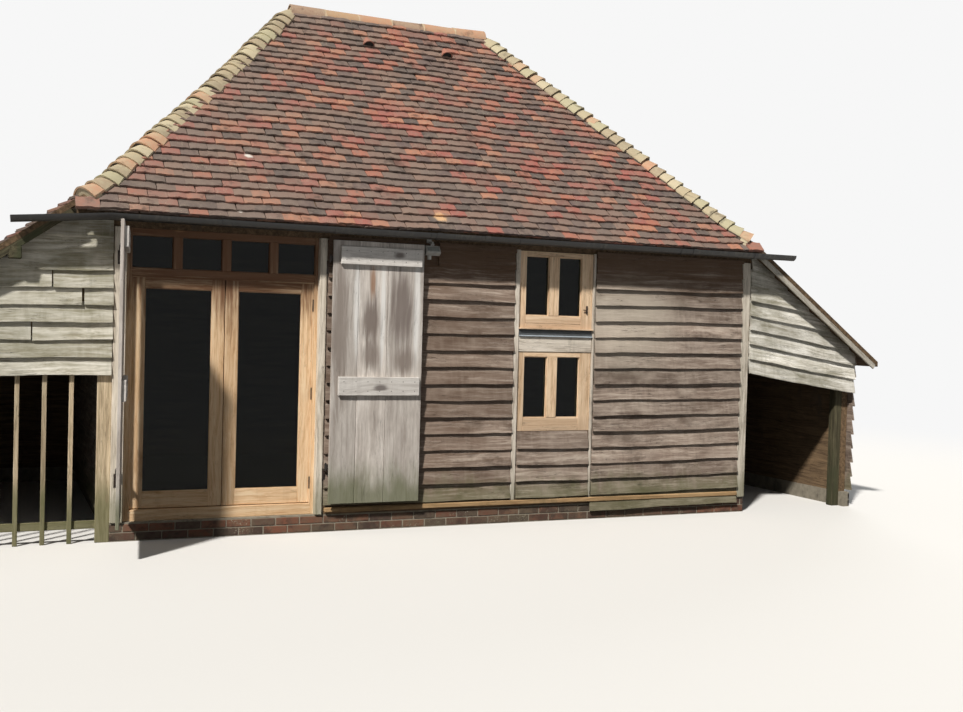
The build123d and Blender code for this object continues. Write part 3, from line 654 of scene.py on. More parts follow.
@dataclass(frozen=True)
class TimberFinish(Finish):
    """Weathered or bare wood.

    The colours run from the summer wood to the winter wood. Damp, rain, bleaching, marks
    (centre, reach, colour and strength) and moss at the foot are laid over them by masks.
    """

    light: tuple
    body: tuple
    dark: tuple
    damp: tuple = srgb(84, 75, 66)
    moss: tuple = srgb(92, 98, 62)
    damp_amount: float = 0.3
    damp_size: Point = (3.0, 3.0, 1.1)
    softness: float = 0.05
    marks: tuple[tuple[Point, Point, tuple, float], ...] = ()
    streaks: float = 0.25
    foot: float = 0.0
    foot_height: float = 0.6
    bleach: float = 0.0
    contrast: float = 1.0
    cracks: float = 0.8
    knots: float = 0.5
    variety: float = 0.35
    relief: float = 0.6
    roughness: float = 0.82
    grain_from: GrainFrom = GrainFrom.TIMBER
    axis: Axis = Axis.X

    def build(self) -> bpy.types.Material:
        """Make the material."""
        material, graph, shader = self.start()
        place = graph.place()
        along, tone = self._piece(graph, place)
        wood = graph.effect(WOOD, along)
        grain = graph.plus(graph.times(wood["Fibre"], 0.45), graph.times(wood["Figure"], 0.55))
        reach = 0.17 / self.contrast
        level = graph.band(grain, 0.5 - reach, 0.5 + reach)
        colour = graph.ramp(level, [(0.0, self.dark), (0.5, self.body), (1.0, self.light)])
        shade = graph.plus(1.0 - 0.5 * self.variety, graph.times(tone, self.variety))
        colour = graph.stretch(colour, graph.joined(shade, shade, shade))
        damp = graph.effect(BLOTCHES, graph.stretch(place, self.damp_size),
                            Amount=self.damp_amount, Softness=self.softness)[0]
        colour = graph.mix(graph.times(damp, 0.75), colour, self.damp)
        if self.streaks:
            rain = graph.effect(STREAKS, place)[0]
            colour = graph.mix(graph.times(rain, self.streaks), colour, self.damp)
        if self.bleach:
            colour = self._bleached(graph, colour, along)
        for centre, size, tint, weight in self.marks:
            away = graph.shift(place, tuple(-part for part in centre))
            away = graph.length(graph.stretch(away, tuple(1.0 / part for part in size)))
            ragged = graph.plus(away, graph.times(wood["Figure"], 1.1))
            colour = graph.mix(graph.band(ragged, 0.9, 1.7, weight, 0.0), colour, tint)
        if self.foot:
            splash = graph.effect(SPLASH, place, Height=self.foot_height)[0]
            colour = graph.mix(graph.times(splash, self.foot), colour, self.moss)
        colour = graph.mix(graph.times(wood["Knot"], self.knots), colour, self.dark)
        crack = graph.times(wood["Crack"], self.cracks)
        colour = graph.mix(crack, colour, tuple(0.22 * part for part in self.dark[:3]) + (1.0,))
        rough = graph.band(grain, 0.3, 0.7, self.roughness + 0.08, self.roughness - 0.08)
        height = graph.minus(grain, graph.times(crack, 0.8))
        self.surface(graph, shader, colour, rough, (self.relief, 0.004, height),
                     Specular_IOR_Level=0.25)
        return material

    def _piece(self, graph: Graph, place: Socket) -> tuple[Socket, Value]:
        """Place along the grain, and the tone of the piece."""
        if self.grain_from is GrainFrom.TIMBER:
            return graph.grain(), graph.tone()
        parts = graph.parts(place)
        return graph.joined(*(parts[(self.axis.value + step) % 3] for step in range(3))), 0.5

    def _bleached(self, graph: Graph, colour: Socket, along: Socket) -> Socket:
        """Light and dark blotches and light streaks that run along the grain."""
        local = graph.parts(along)
        upright = graph.joined(local[0], 0.3, local[1])
        for shift, stretch, tint, share in (
                ((3.7, 1.9, 0.4), (3.4, 1.0, 5.5), self.light, 1.0),
                ((8.1, 2.3, 5.4), (2.6, 1.0, 4.5), self.damp, 0.8)):
            spot = graph.stretch(graph.shift(upright, shift), stretch)
            washed = graph.effect(BLOTCHES, spot, Amount=0.42, Softness=0.15)[0]
            colour = graph.mix(graph.times(washed, share * self.bleach), colour, tint)
        spot = graph.stretch(graph.shift(upright, (1.3, 0.0, 6.2)), (0.8, 1.0, 1.3))
        rain = graph.effect(STREAKS, spot)[0]
        return graph.mix(graph.times(rain, 0.3 * self.bleach), colour, self.light)


@dataclass(frozen=True)
class ClayFinish(Finish):
    """Hand-made clay tiles or bricks whose colour differs from piece to piece.

    Marks are pale patches: centre, size and colour.
    """

    palette: tuple
    weathered: tuple
    lichen: tuple = srgb(178, 172, 150)
    soot_and_shade: tuple = srgb(58, 50, 46)
    weather: float = 0.45
    lichen_amount: float = 0.3
    soot_amount: float = 0.3
    left_grey: float = 0.0
    marks: tuple[tuple[Point, float, tuple], ...] = ()
    relief: float = 0.7
    roughness: float = 0.85

    def build(self) -> bpy.types.Material:
        """Make the material."""
        material, graph, shader = self.start()
        place, local = graph.place(), graph.grain()
        stops = [(index / len(self.palette), colour) for index, colour in enumerate(self.palette)]
        colour = graph.ramp(graph.tone(), stops, steps=True)
        mottle = graph.noise(local, 22.0, 5.0, 0.65)
        colour = graph.mix(graph.band(mottle, 0.4, 0.7, 0.0, 0.5), colour, self.weathered)
        weather = graph.band(graph.noise(place, 2.6, 4.0), 0.35, 0.7, 0.0, self.weather)
        if self.left_grey:
            extra = graph.band(graph.parts(place)[0], -4.5, 1.5, self.left_grey, 0.0)
            weather = graph.plus(weather, extra, clamp=True)
        colour = graph.mix(weather, colour, self.weathered)
        soot_and_shade = graph.effect(BLOTCHES, graph.stretch(place, (6.0, 6.0, 6.0)),
                            Amount=self.soot_amount, Softness=0.05)[0]
        colour = graph.mix(graph.times(soot_and_shade, 0.6), colour, self.soot_and_shade)
        fleck, patch = graph.noise(local, 75.0, 3.0, 0.7), graph.noise(place, 5.0, 2.0)
        spots = graph.times(graph.band(fleck, 0.56, 0.66),
                            graph.band(patch, 0.62 - 0.3 * self.lichen_amount, 0.72))
        colour = graph.mix(graph.times(spots, 0.8), colour, self.lichen)
        for centre, size, tint in self.marks:
            away = graph.length(graph.vector("SUBTRACT", place, centre))
            ragged = graph.plus(away, graph.times(mottle, size))
            colour = graph.mix(graph.band(ragged, size, 1.5 * size, 0.85, 0.0), colour, tint)
        grit = graph.effect(GRIT, local)
        rough = graph.band(grit["Shade"], 0.0, 1.0, self.roughness - 0.08, self.roughness + 0.08)
        self.surface(graph, shader, colour, rough, (self.relief, 0.004, grit["Height"]),
                     Specular_IOR_Level=0.25)
        return material


@dataclass(frozen=True)
class PlainFinish(Finish):
    """One colour with its dirt, wear and surface grit: plastic, iron, lead, mortar, concrete."""

    colour: tuple
    second: tuple
    dirt: tuple = srgb(70, 64, 56)
    change: float = 0.6
    change_size: float = 14.0
    dirt_amount: float = 0.3
    streaks: float = 0.2
    roughness: float = 0.6
    metallic: float = 0.0
    relief: float = 0.3

    def build(self) -> bpy.types.Material:
        """Make the material."""
        material, graph, shader = self.start()
        place = graph.place()
        patches = graph.band(graph.noise(place, self.change_size, 5.0, 0.62), 0.36, 0.66, 0.0,
                             self.change)
        colour = graph.mix(patches, self.colour, self.second)
        dirt = graph.effect(BLOTCHES, graph.stretch(place, (7.0, 7.0, 5.0)),
                            Amount=self.dirt_amount, Softness=0.05)[0]
        rain = graph.effect(STREAKS, place)[0]
        mask = graph.plus(graph.times(dirt, 0.5), graph.times(rain, self.streaks), clamp=True)
        colour = graph.mix(mask, colour, self.dirt)
        grit = graph.effect(GRIT, place)
        rough = graph.band(grit["Shade"], 0.0, 1.0, self.roughness - 0.1,
                           min(self.roughness + 0.1, 1.0))
        self.surface(graph, shader, colour, rough, (self.relief, 0.002, grit["Height"]),
                     Metallic=self.metallic)
        return material


@dataclass(frozen=True)
class GlassFinish(Finish):
    """Window glass with a slight old ripple and patches of dust."""

    tint: tuple
    transmission: float = 1.0
    roughness: float = 0.03
    shine: float = 0.28

    def build(self) -> bpy.types.Material:
        """Make the material."""
        material, graph, shader = self.start()
        place = graph.place()
        dust = graph.noise(place, 6.0, 5.0, 0.6)
        colour = graph.mix(graph.band(dust, 0.4, 0.75, 0.0, 0.15), self.tint, srgb(90, 92, 84))
        rough = graph.band(dust, 0.35, 0.75, self.roughness, self.roughness + 0.1)
        self.surface(graph, shader, colour, rough, (0.12, 0.01, graph.noise(place, 3.5, 1.0)),
                     Transmission_Weight=self.transmission, IOR=1.45,
                     Specular_Tint=(self.shine, self.shine, self.shine, 1.0))
        return material


@dataclass(frozen=True)
class Palette:
    """Every finish of the building, made once."""

    tile: Finish = ClayFinish(
        "roof tiles",
        (srgb(130, 97, 87), srgb(158, 104, 92), srgb(108, 92, 86), srgb(170, 110, 92),
         srgb(124, 103, 93), srgb(88, 80, 77), srgb(135, 111, 99), srgb(162, 99, 89),
         srgb(115, 101, 94), srgb(180, 126, 102), srgb(100, 86, 83), srgb(130, 107, 97)),
        weathered=srgb(134, 118, 107), weather=0.38, left_grey=0.35, marks=(
            ((-1.941, -1.777, 3.459), 0.055, srgb(228, 225, 216)),
            ((-2.116, -1.831, 3.401), 0.03, srgb(214, 208, 196)),
            ((-2.193, -1.638, 3.608), 0.022, srgb(206, 200, 190)),
            ((-1.433, -1.833, 3.399), 0.022, srgb(206, 200, 190)),
            ((-1.809, -2.041, 3.176), 0.024, srgb(204, 196, 184)),
            ((-2.109, -2.306, 2.892), 0.03, srgb(214, 208, 198)),
            ((-1.998, -2.324, 2.873), 0.026, srgb(214, 208, 198)),
            ((-0.202, -2.237, 2.966), 0.085, srgb(222, 182, 138)),
            ((1.31, -0.29, 5.02), 0.05, srgb(206, 196, 180))))
    bonnet: Finish = ClayFinish(
        "bonnet hip tiles",
        (srgb(182, 166, 138), srgb(198, 184, 156), srgb(168, 150, 126), srgb(194, 150, 122),
         srgb(178, 170, 140), srgb(156, 140, 118)),
        weathered=srgb(184, 176, 146), soot_amount=0.3, lichen_amount=0.6)
    ridge: Finish = ClayFinish(
        "ridge tiles",
        (srgb(190, 142, 112), srgb(202, 162, 126), srgb(172, 132, 110), srgb(182, 146, 112),
         srgb(160, 132, 112)),
        weathered=srgb(176, 158, 134), soot_amount=0.3, lichen_amount=0.5)
    brick: Finish = ClayFinish(
        "plinth bricks",
        (srgb(112, 74, 60), srgb(96, 68, 58), srgb(128, 84, 66), srgb(84, 66, 58),
         srgb(104, 80, 68)),
        weathered=srgb(104, 96, 80), weather=0.6, soot_amount=0.45, relief=0.9)
    mortar: Finish = PlainFinish("plinth mortar", srgb(150, 142, 126), srgb(118, 110, 96),
                                 roughness=0.92, relief=0.9)
    ridge_mortar: Finish = PlainFinish("ridge bedding", srgb(196, 176, 146), srgb(164, 144, 118),
                                       roughness=0.92, relief=0.9)
    hip_mortar: Finish = PlainFinish("hip bedding", srgb(96, 88, 78), srgb(70, 64, 58),
                                     roughness=0.95, relief=0.9)
    board: Finish = TimberFinish(
        "weathered boards", srgb(190, 176, 162), srgb(135, 119, 107), srgb(102, 87, 77),
        damp=srgb(84, 70, 60), damp_amount=0.38, damp_size=(2.2, 2.2, 6.0), foot=0.5,
        foot_height=0.55, variety=0.5, bleach=0.5, contrast=0.75, marks=(
            ((-0.35, -2.1, 1.5), (1.5, 0.5, 1.9), srgb(104, 82, 66), 0.42),
            ((1.95, -2.1, 2.08), (0.75, 0.5, 0.62), srgb(198, 188, 172), 0.5),
            # Last mark: darker brown under the eaves, partly sheltered wood that stays brown,
            # partly painted shade from the eaves.
            ((-0.3, -2.1, 2.74), (14.0, 1.0, 0.44), srgb(92, 70, 52), 0.85)))
    bleached: Finish = TimberFinish(
        "bleached boards", srgb(242, 239, 231), srgb(203, 198, 186), srgb(144, 138, 121),
        damp=srgb(108, 104, 80), damp_amount=0.42, damp_size=(1.6, 1.6, 5.0), variety=0.55,
        bleach=0.6, contrast=1.0, softness=0.12, marks=(
            ((-3.9, -2.1, 2.0), (1.6, 0.6, 1.1), srgb(128, 125, 98), 0.35),))
    pale: Finish = TimberFinish(
        "pale slats", srgb(212, 196, 168), srgb(186, 168, 140), srgb(140, 124, 100),
        damp=srgb(110, 104, 82), damp_amount=0.26, foot=0.7, foot_height=0.7)
    silver: Finish = TimberFinish(
        "silver leaf boards", srgb(226, 220, 213), srgb(202, 194, 186), srgb(166, 157, 149),
        damp=srgb(136, 124, 116), damp_amount=0.4, damp_size=(5.0, 5.0, 1.5), softness=0.16,
        streaks=0.5, foot=0.75, foot_height=0.75, variety=0.3, knots=0.35, contrast=0.6,
        cracks=0.45, marks=(
            ((-0.732, -2.17, 2.09), (0.03, 0.3, 0.6), srgb(236, 234, 230), 0.85),
            ((-0.987, -2.17, 2.09), (0.035, 0.3, 0.55), srgb(232, 230, 226), 0.8),
            ((-0.39, -2.17, 2.09), (0.045, 0.3, 0.6), srgb(236, 234, 230), 0.85),
            ((-0.852, -2.17, 1.985), (0.12, 0.3, 0.26), srgb(120, 108, 101), 0.9),
            ((-0.545, -2.17, 2.1), (0.15, 0.3, 0.46), srgb(120, 109, 103), 0.9),
            ((-0.513, -2.17, 1.61), (0.13, 0.3, 0.16), srgb(130, 118, 110), 0.85),
            ((-0.845, -2.17, 1.67), (0.1, 0.3, 0.2), srgb(128, 116, 108), 0.85),
            ((-1.15, -2.17, 1.9), (0.1, 0.3, 0.9), srgb(136, 125, 117), 0.85),
            ((-0.837, -2.17, 2.337), (0.03, 0.3, 0.2), srgb(150, 112, 84), 0.8)))
    # Lighter than the leaf boards' silver: partly paler weathered ledges, partly painted light
    # where the eaves' shadow falls on the top ledge.
    ledge: Finish = TimberFinish(
        "silver ledges with painted light", srgb(232, 228, 222), srgb(214, 209, 203), srgb(178, 171, 164),
        damp=srgb(146, 138, 131), damp_amount=0.25, softness=0.12, streaks=0.2, variety=0.15,
        knots=0.35, contrast=0.6, cracks=0.5, marks=(
            ((-0.59, -2.22, 2.604), (0.07, 0.3, 0.035), srgb(118, 108, 102), 0.9),
            ((-0.748, -2.22, 1.359), (0.08, 0.3, 0.035), srgb(112, 104, 100), 0.9)))
    silver_trim: Finish = TimberFinish(
        "silver strips", srgb(224, 215, 202), srgb(204, 194, 180), srgb(156, 145, 131),
        damp=srgb(112, 99, 86), damp_amount=0.36, foot=0.4, variety=0.3)
    oak: Finish = TimberFinish(
        "oak joinery", srgb(240, 216, 182), srgb(226, 192, 152), srgb(190, 148, 106),
        damp=srgb(150, 112, 78), damp_amount=0.2, streaks=0.12, variety=0.22, knots=0.3,
        cracks=0.5, relief=0.35, roughness=0.66, contrast=0.8, marks=(
            # Darker red-brown over the transom and the leaves' heads: partly darker wood, partly
            # painted shade from the eaves.
            ((-2.165, -2.0, 2.62), (1.9, 0.6, 0.78), srgb(96, 62, 42), 0.92),))
    window_oak: Finish = TimberFinish(
        "weathered window oak", srgb(240, 216, 186), srgb(226, 196, 162), srgb(186, 152, 118),
        damp=srgb(172, 144, 114), damp_amount=0.22, streaks=0.25, variety=0.22, relief=0.4,
        roughness=0.75, marks=(
            ((1.148, -2.1, 1.99), (0.9, 0.3, 0.12), srgb(194, 166, 138), 0.7),
            ((1.148, -2.1, 0.96), (0.9, 0.3, 0.12), srgb(194, 166, 138), 0.7)))
    post: Finish = TimberFinish(
        "grey oak posts", srgb(230, 221, 206), srgb(208, 198, 182), srgb(160, 149, 133),
        damp=srgb(136, 124, 108), damp_amount=0.25, foot=0.5, cracks=1.0, variety=0.25)
    tan: Finish = TimberFinish(
        "drip board", srgb(206, 168, 128), srgb(184, 144, 106), srgb(140, 106, 76),
        damp=srgb(120, 98, 76), damp_amount=0.25, foot=0.35)
    green_brown: Finish = TimberFinish(
        "purlin and barge boards", srgb(98, 92, 70), srgb(76, 71, 53), srgb(50, 46, 34),
        damp=srgb(58, 62, 42), damp_amount=0.4, variety=0.2)
    light_barge: Finish = TimberFinish(
        "light barge boards", srgb(196, 190, 178), srgb(172, 166, 154), srgb(128, 120, 108),
        damp=srgb(120, 114, 98), damp_amount=0.3)
    dark_wood: Finish = TimberFinish(
        "roof timbers", srgb(120, 98, 74), srgb(94, 76, 56), srgb(62, 48, 36),
        grain_from=GrainFrom.PLACE, axis=Axis.Y, streaks=0.0, damp_amount=0.25)
    fascia: Finish = TimberFinish(
        "fascia boards", srgb(96, 84, 70), srgb(74, 64, 52), srgb(48, 40, 32),
        grain_from=GrainFrom.PLACE, axis=Axis.X, streaks=0.0, damp_amount=0.3)
    lining: Finish = TimberFinish(
        "walls inside", srgb(140, 116, 88), srgb(112, 92, 70), srgb(78, 62, 46),
        grain_from=GrainFrom.PLACE, axis=Axis.X, streaks=0.1, damp_amount=0.3)
    side_lining: Finish = replace(lining, name="side walls inside", axis=Axis.Y)
    slab: Finish = PlainFinish("concrete floor", srgb(134, 128, 118), srgb(108, 102, 92),
                               roughness=0.9, relief=0.5, change_size=5.0)
    plastic: Finish = PlainFinish("gutter plastic", srgb(22, 21, 21), srgb(38, 36, 34),
                                  dirt=srgb(96, 92, 80), change=0.4, dirt_amount=0.2,
                                  streaks=0.3, roughness=0.38, relief=0.05)
    # Near-black plates inside the vent mouths: painted shade where the hoods' hollows are dark.
    soot_and_shade: Finish = PlainFinish("painted shade in vent mouths", srgb(18, 15, 13), srgb(28, 23, 20),
                               roughness=0.95, relief=0.4)
    iron: Finish = PlainFinish("black iron", srgb(42, 38, 36), srgb(74, 54, 42),
                               roughness=0.6, metallic=0.5, relief=0.35)
    # Lead darker than its own grey: partly dull lead, partly painted shade under the window's
    # drip.
    lead: Finish = PlainFinish("lead flashing with painted shade", srgb(70, 74, 77), srgb(54, 57, 59),
                               dirt=srgb(38, 36, 33), roughness=0.55, metallic=0.1)
    # Pale blue-grey lead for the flashing's foot: a painted highlight where it catches the sun.
    lead_edge_highlight: Finish = PlainFinish("lead with painted highlight", srgb(178, 188, 196), srgb(150, 158, 164),
                                    dirt=srgb(112, 110, 106), roughness=0.5, metallic=0.1)
    lamp: Finish = PlainFinish("lamp housing", srgb(176, 174, 168), srgb(150, 148, 142),
                               dirt=srgb(112, 108, 98), roughness=0.5, relief=0.1)
    steel: Finish = PlainFinish("hinge steel", srgb(120, 112, 102), srgb(90, 78, 66),
                                roughness=0.45, metallic=0.7, relief=0.1)
    # Dark grey-green tint, far darker than clear glass: partly old glass's green, partly painted
    # shade of the dim room behind.
    glass: Finish = GlassFinish("window glass with painted shade", srgb(120, 128, 120))
    lens: Finish = GlassFinish("lamp glass", srgb(200, 204, 200), transmission=0.6,
                               roughness=0.15)

    def material(self, name: str) -> bpy.types.Material:
        """The material of one of the finishes, built the first time it is used."""
        finish = getattr(self, name)
        return bpy.data.materials.get(finish.name) or finish.build()


PALETTE = Palette()


def dress(thing: bpy.types.Object, finish: str, body: Body = Body.SHED,
          nodes: Sequence[str] = ()) -> bpy.types.Object:
    """Give a piece its finish, its body and the CAD nodes that it stands for.

    Args:
        thing: the piece.
        finish: name of a finish in the palette.
        body: the body that it moves with.
        nodes: CAD nodes that it replaces.

    Returns:
        The piece.
    """
    thing.data.materials.clear()
    thing.data.materials.append(PALETTE.material(finish))
    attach(thing, body.value)
    if nodes:
        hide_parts(*nodes)
    log.info("%s: %d faces", thing.name, len(thing.data.polygons))
    return thing


def joinery(name: str, finish: str, timbers: Sequence[Timber], seed: int,
            chamfer: float = 0.003, bow: float = 0.0, smooth: float = 0.4,
            body: Body = Body.SHED, nodes: Sequence[str] = ()) -> None:
    """Make and dress one piece of squared timbers.

    Args:
        name: the piece's name.
        finish: name of a finish in the palette.
        timbers: its timbers.
        seed: of its random numbers.
        chamfer: width of the planed edges.
        bow: how far a timber strays from straight.
        smooth: edges flatter than this angle, in radians, are shaded smooth.
        body: the body that it moves with.
        nodes: CAD nodes that it replaces.
    """
    heap = Heap()
    heap.timbers(timbers, Dice(seed), chamfer, bow)
    dress(heap.mesh(name, smooth), finish, body, nodes)


def beads(x: tuple[float, float], z: tuple[float, float], y: float,
          size: float = 0.006) -> list[Timber]:
    """Four glazing beads round an opening in a frame.

    Args:
        x: left and right edges of the opening.
        z: its lower and upper edges.
        y: the beads' outer face.
        size: width and depth of a bead.

    Returns:
        The beads.
    """
    (x0, x1), (z0, z1), back = x, z, y + size
    return [Timber((x0, y, z0), (x0 + size, back, z1), Axis.Z),
            Timber((x1 - size, y, z0), (x1, back, z1), Axis.Z),
            Timber((x0 + size, y, z0), (x1 - size, back, z0 + size), Axis.X),
            Timber((x0 + size, y, z1 - size), (x1 - size, back, z1), Axis.X)]


# ---------------------------------------------------------------- the building


@dataclass(frozen=True)
class Layout:
    """Sizes that several parts of the building share."""

    half_ridge: float = 1.135
    pitch: float = math.radians(47.0)
    lean_pitch: float = math.radians(35.6)
    eaves_z: float = 2.866
    eaves_y: float = 2.33
    lean_lift: float = 0.07
    reach: float = 5.22
    wall_y: float = 2.08
    wall_left: float = -3.137
    wall_right: float = 3.533
    lean_wall: float = 5.03
    plinth: float = 0.165
    plate_z: float = 2.735
    slab: float = 0.045

    @property
    def eaves_x(self) -> float:
        """Where the hips reach the eaves."""
        return self.half_ridge + self.eaves_y

    @property
    def apex(self) -> float:
        """Height of the ridge line of the slopes."""
        return self.eaves_z + self.eaves_y * math.tan(self.pitch)

    @property
    def lean_start(self) -> float:
        """Height of the lean-to slope over the main eaves."""
        return self.eaves_z + self.lean_lift

    @property
    def break_x(self) -> float:
        """Where the hip slope gives way to the lean-to slope."""
        return self.eaves_x - self.lean_lift / (math.tan(self.pitch) - math.tan(self.lean_pitch))

    @property
    def break_y(self) -> float:
        """Half the length of that line."""
        return self.break_x - self.half_ridge

    @property
    def break_z(self) -> float:
        """Height of that line."""
        return self.apex - self.break_y * math.tan(self.pitch)

    @property
    def verge_y(self) -> float:
        """Half the width of a lean-to roof."""
        return self.eaves_y - self.lean_lift / math.tan(self.pitch)

    def lean_under(self, x: Array) -> Array:
        """Height of the underside of the lean-to roof at a distance from the middle."""
        layer = self.slab / math.cos(self.lean_pitch)
        return self.lean_start + (self.eaves_x - np.abs(x)) * math.tan(self.lean_pitch) - layer


LAYOUT = Layout()


@dataclass(frozen=True)
class Slope:
    """One flat slope of the roof.

    A place on it is given by u, along the courses, and s, down the slope from its top.
    """

    name: str
    top: Point
    along: Point
    down: Point
    length: float
    knots: tuple[tuple[float, float], ...]

    def half_width(self, s: Array) -> Array:
        """Half the slope's width at a distance down it."""
        places, widths = zip(*self.knots)
        return np.interp(np.minimum(s, self.length), places, widths)

    def place(self, u: Array, s: Array, lift: Array) -> Array:
        """Points from u, s and a height over the slope: top + u a + s d + lift (d x a)."""
        along, down = np.array(self.along), np.array(self.down)
        out = np.cross(down, along)
        return (np.array(self.top) + u[..., None] * along + s[..., None] * down
                + lift[..., None] * out)


def roof_slopes(layout: Layout) -> list[Slope]:
    """The six tiled slopes.

    Args:
        layout: the building's shared sizes.

    Returns:
        Front and back, two hip ends and two lean-to roofs.
    """
    cos, sin = math.cos(layout.pitch), math.sin(layout.pitch)
    lean_cos, lean_sin = math.cos(layout.lean_pitch), math.sin(layout.lean_pitch)
    wide, hip = layout.eaves_y / cos, layout.break_y / cos
    knots = ((0.0, layout.half_ridge), (hip, layout.break_x),
             (layout.verge_y / cos, layout.eaves_x), (wide, layout.eaves_x))
    lean_length = (layout.reach - layout.break_x) / lean_cos
    lean_knots = ((0.0, layout.break_y),
                  ((layout.eaves_x - layout.break_x) / lean_cos, layout.verge_y),
                  (lean_length, layout.verge_y))
    top = (0.0, 0.0, layout.apex)
    slopes = [Slope("front", top, RIGHT, (0.0, -cos, -sin), wide, knots),
              Slope("back", top, LEFT, (0.0, cos, -sin), wide, knots)]
    for side, name in ((1.0, "right"), (-1.0, "left")):
        slopes.append(Slope("hip_" + name, (side * layout.half_ridge, 0.0, layout.apex),
                            (0.0, side, 0.0), (side * cos, 0.0, -sin), hip,
                            ((0.0, 0.0), (hip, layout.break_y))))
        slopes.append(Slope("leanto_" + name, (side * layout.break_x, 0.0, layout.break_z),
                            (0.0, side, 0.0), (side * lean_cos, 0.0, -lean_sin), lean_length,
                            lean_knots))
    return slopes


@dataclass
class TiledRoof:
    """Hand-made plain tiles in uneven courses on every slope."""

    layout: Layout
    gauge: float = 0.1
    width: float = 0.165
    tile: float = 0.162
    thickness: float = 0.018
    gap: float = 0.004
    tail_lift: float = 0.034
    head_lift: float = -0.003
    under_drop: float = 0.019
    under_length: float = 0.09
    ridge_kick: float = 0.055
    kick_reach: float = 0.4
    eaves_reach: float = 0.045
    lean_reach: float = -0.04
    hip_margin: float = 0.08
    sliver: float = 0.003
    vents: tuple[tuple[float, float], ...] = ((-0.364, -0.34), (0.552, -0.35))
    hood_radius: float = 0.067
    hood_wall: float = 0.010
    hood_length: float = 0.13
    hood_lift: float = 0.034
    hood_foot: float = 0.05
    hood_narrowing: float = 0.6
    mouth_radius: float = 0.056
    mouth_depths: tuple[float, float] = (0.008, 0.018)

    def course_sag(self, slope: Slope, u: Array, s: Array) -> Array:
        """Slow hollows and humps of the battens, about 9 mm either way.

        Formula: three crossing sines of u and s, each with its own phase for the slope,
        and on the two long slopes a kick up towards the ridge.
        """
        turn = float(len(slope.name)) * 1.7 + (2.0 if slope.name.endswith("left") else 0.0)
        wave = (np.sin(1.9 * u + 1.3 * s + turn) + 0.7 * np.sin(4.4 * u - 2.1 * s + 2.0 * turn)
                + 0.5 * np.sin(8.9 * u + 5.0 * s + 3.0 * turn))
        kick = self.ridge_kick * np.clip(1.0 - s / self.kick_reach, 0.0, 1.0) ** 2
        return 0.0042 * wave + (kick if slope.name in ("front", "back") else 0.0)

    def course_drift(self, slope: Slope, u: Array, row: Array) -> Array:
        """How far each course strays up and down the slope, with its own small part."""
        turn = float(len(slope.name))
        shared = 0.010 * np.sin(1.4 * u + turn) + 0.005 * np.sin(3.7 * u + 2.0 * turn)
        own = 0.0045 * np.sin(2.6 * u + 2.4 * row) + 0.003 * np.sin(7.3 * u + 5.1 * row)
        return shared + own

    def tiles(self, slope: Slope, dice: Dice) -> Heap:
        """All tiles of one slope.

        Formula: for tile (row, column), u = (column + row / 2) width + across and
        s = tail - along; its lift falls evenly from tail to head, plus a camber that is
        highest midway across. u is held between the hips at that s. Row -1 is the course
        of short tiles under the eaves.

        Args:
            slope: the slope.
            dice: random numbers for the slope.

        Returns:
            The tiles.
        """
        rows = int(round(slope.length / self.gauge))
        half = max(width for _, width in slope.knots)
        columns = int(half / self.width) + 2
        row, column = (grid.ravel() for grid in np.meshgrid(
            np.arange(-1, rows), np.arange(-columns, columns + 1), indexing="ij"))
        step = (slope.length - 0.02) / rows
        centre = (column + 0.5 * (row % 2)) * self.width + dice.spread(len(row), 0.006)
        past = self.lean_reach if slope.name.startswith("leanto") else self.eaves_reach
        tail = slope.length + past - np.maximum(row, 0) * step
        shown = (np.abs(centre) - 0.5 * self.width
                 < slope.half_width(tail) - self.hip_margin - 0.02)
        row, centre, tail = (part[shown][:, None, None] for part in (row, centre, tail))
        each = (len(row), 1, 1)
        under = row < 0
        turn = dice.spread(each, 0.014)
        camber = dice.between(each, 0.001, 0.006)
        tip = dice.spread(each, 0.005)
        rock = dice.spread(each, 0.02)
        ends, spots = down(0.0, 0.4, 1.0), over(-0.5, 0.5, 6)
        long = np.where(under, self.under_length, np.minimum(self.tile, tail - 0.002))
        size = self.width - self.gap
        across = centre + size * spots + 0.0 * ends
        ragged = 0.004 * np.sin(9.0 * spots + dice.spread(each, 9.0)) * (1.0 - ends)
        s = (tail - ends * long + turn * size * spots + ragged
             + self.course_drift(slope, across, row) + tip * (1.0 - ends))
        s = np.clip(s, 0.004, slope.length + past + 0.006)
        limit = np.maximum(slope.half_width(s) - self.hip_margin, 0.004)
        left = np.maximum(across[:, :, :1], -limit)
        right = np.maximum(np.minimum(across[:, :, -1:], limit), left + self.sliver)
        left = np.minimum(left, right - self.sliver)
        u = left + (right - left) * (spots + 0.5)
        lift = self.tail_lift + (self.head_lift - self.tail_lift) * ends - under * self.under_drop
        lift = (lift + camber * (1.0 - 4.0 * spots ** 2) + rock * size * spots * (1.0 - ends)
                + self.course_sag(slope, u, s))
        local = np.stack([s - tail + 0.0 * u, u - centre, lift], -1)
        local += dice.spread((*each, 3), 30.0)
        heap = Heap()
        heap.slabs(slope.place(u, s, lift), slope.place(u, s, lift - self.thickness),
                   dice.tone(len(row)), (local, local - (0.0, 0.0, self.thickness)))
        return heap

    def vent_hoods(self, slope: Slope) -> tuple[Heap, Heap]:
        """Half-round vent hoods on the front slope, and dark plates of painted shade in their
        mouths.

        Formula: u = centre + r sin a and lift = hood_lift + r cos a, where a runs from
        -90 to 90 degrees and r shrinks from the mouth to the head.
        """
        hoods, mouths = Heap(), Heap()
        turn, ends = over(-0.5, 0.5, 11) * math.pi, down(0.0, 0.5, 1.0)
        for x, y in self.vents:
            s = (abs(y) / math.cos(self.layout.pitch) + self.hood_foot - self.hood_length * ends
                 + 0.0 * turn)

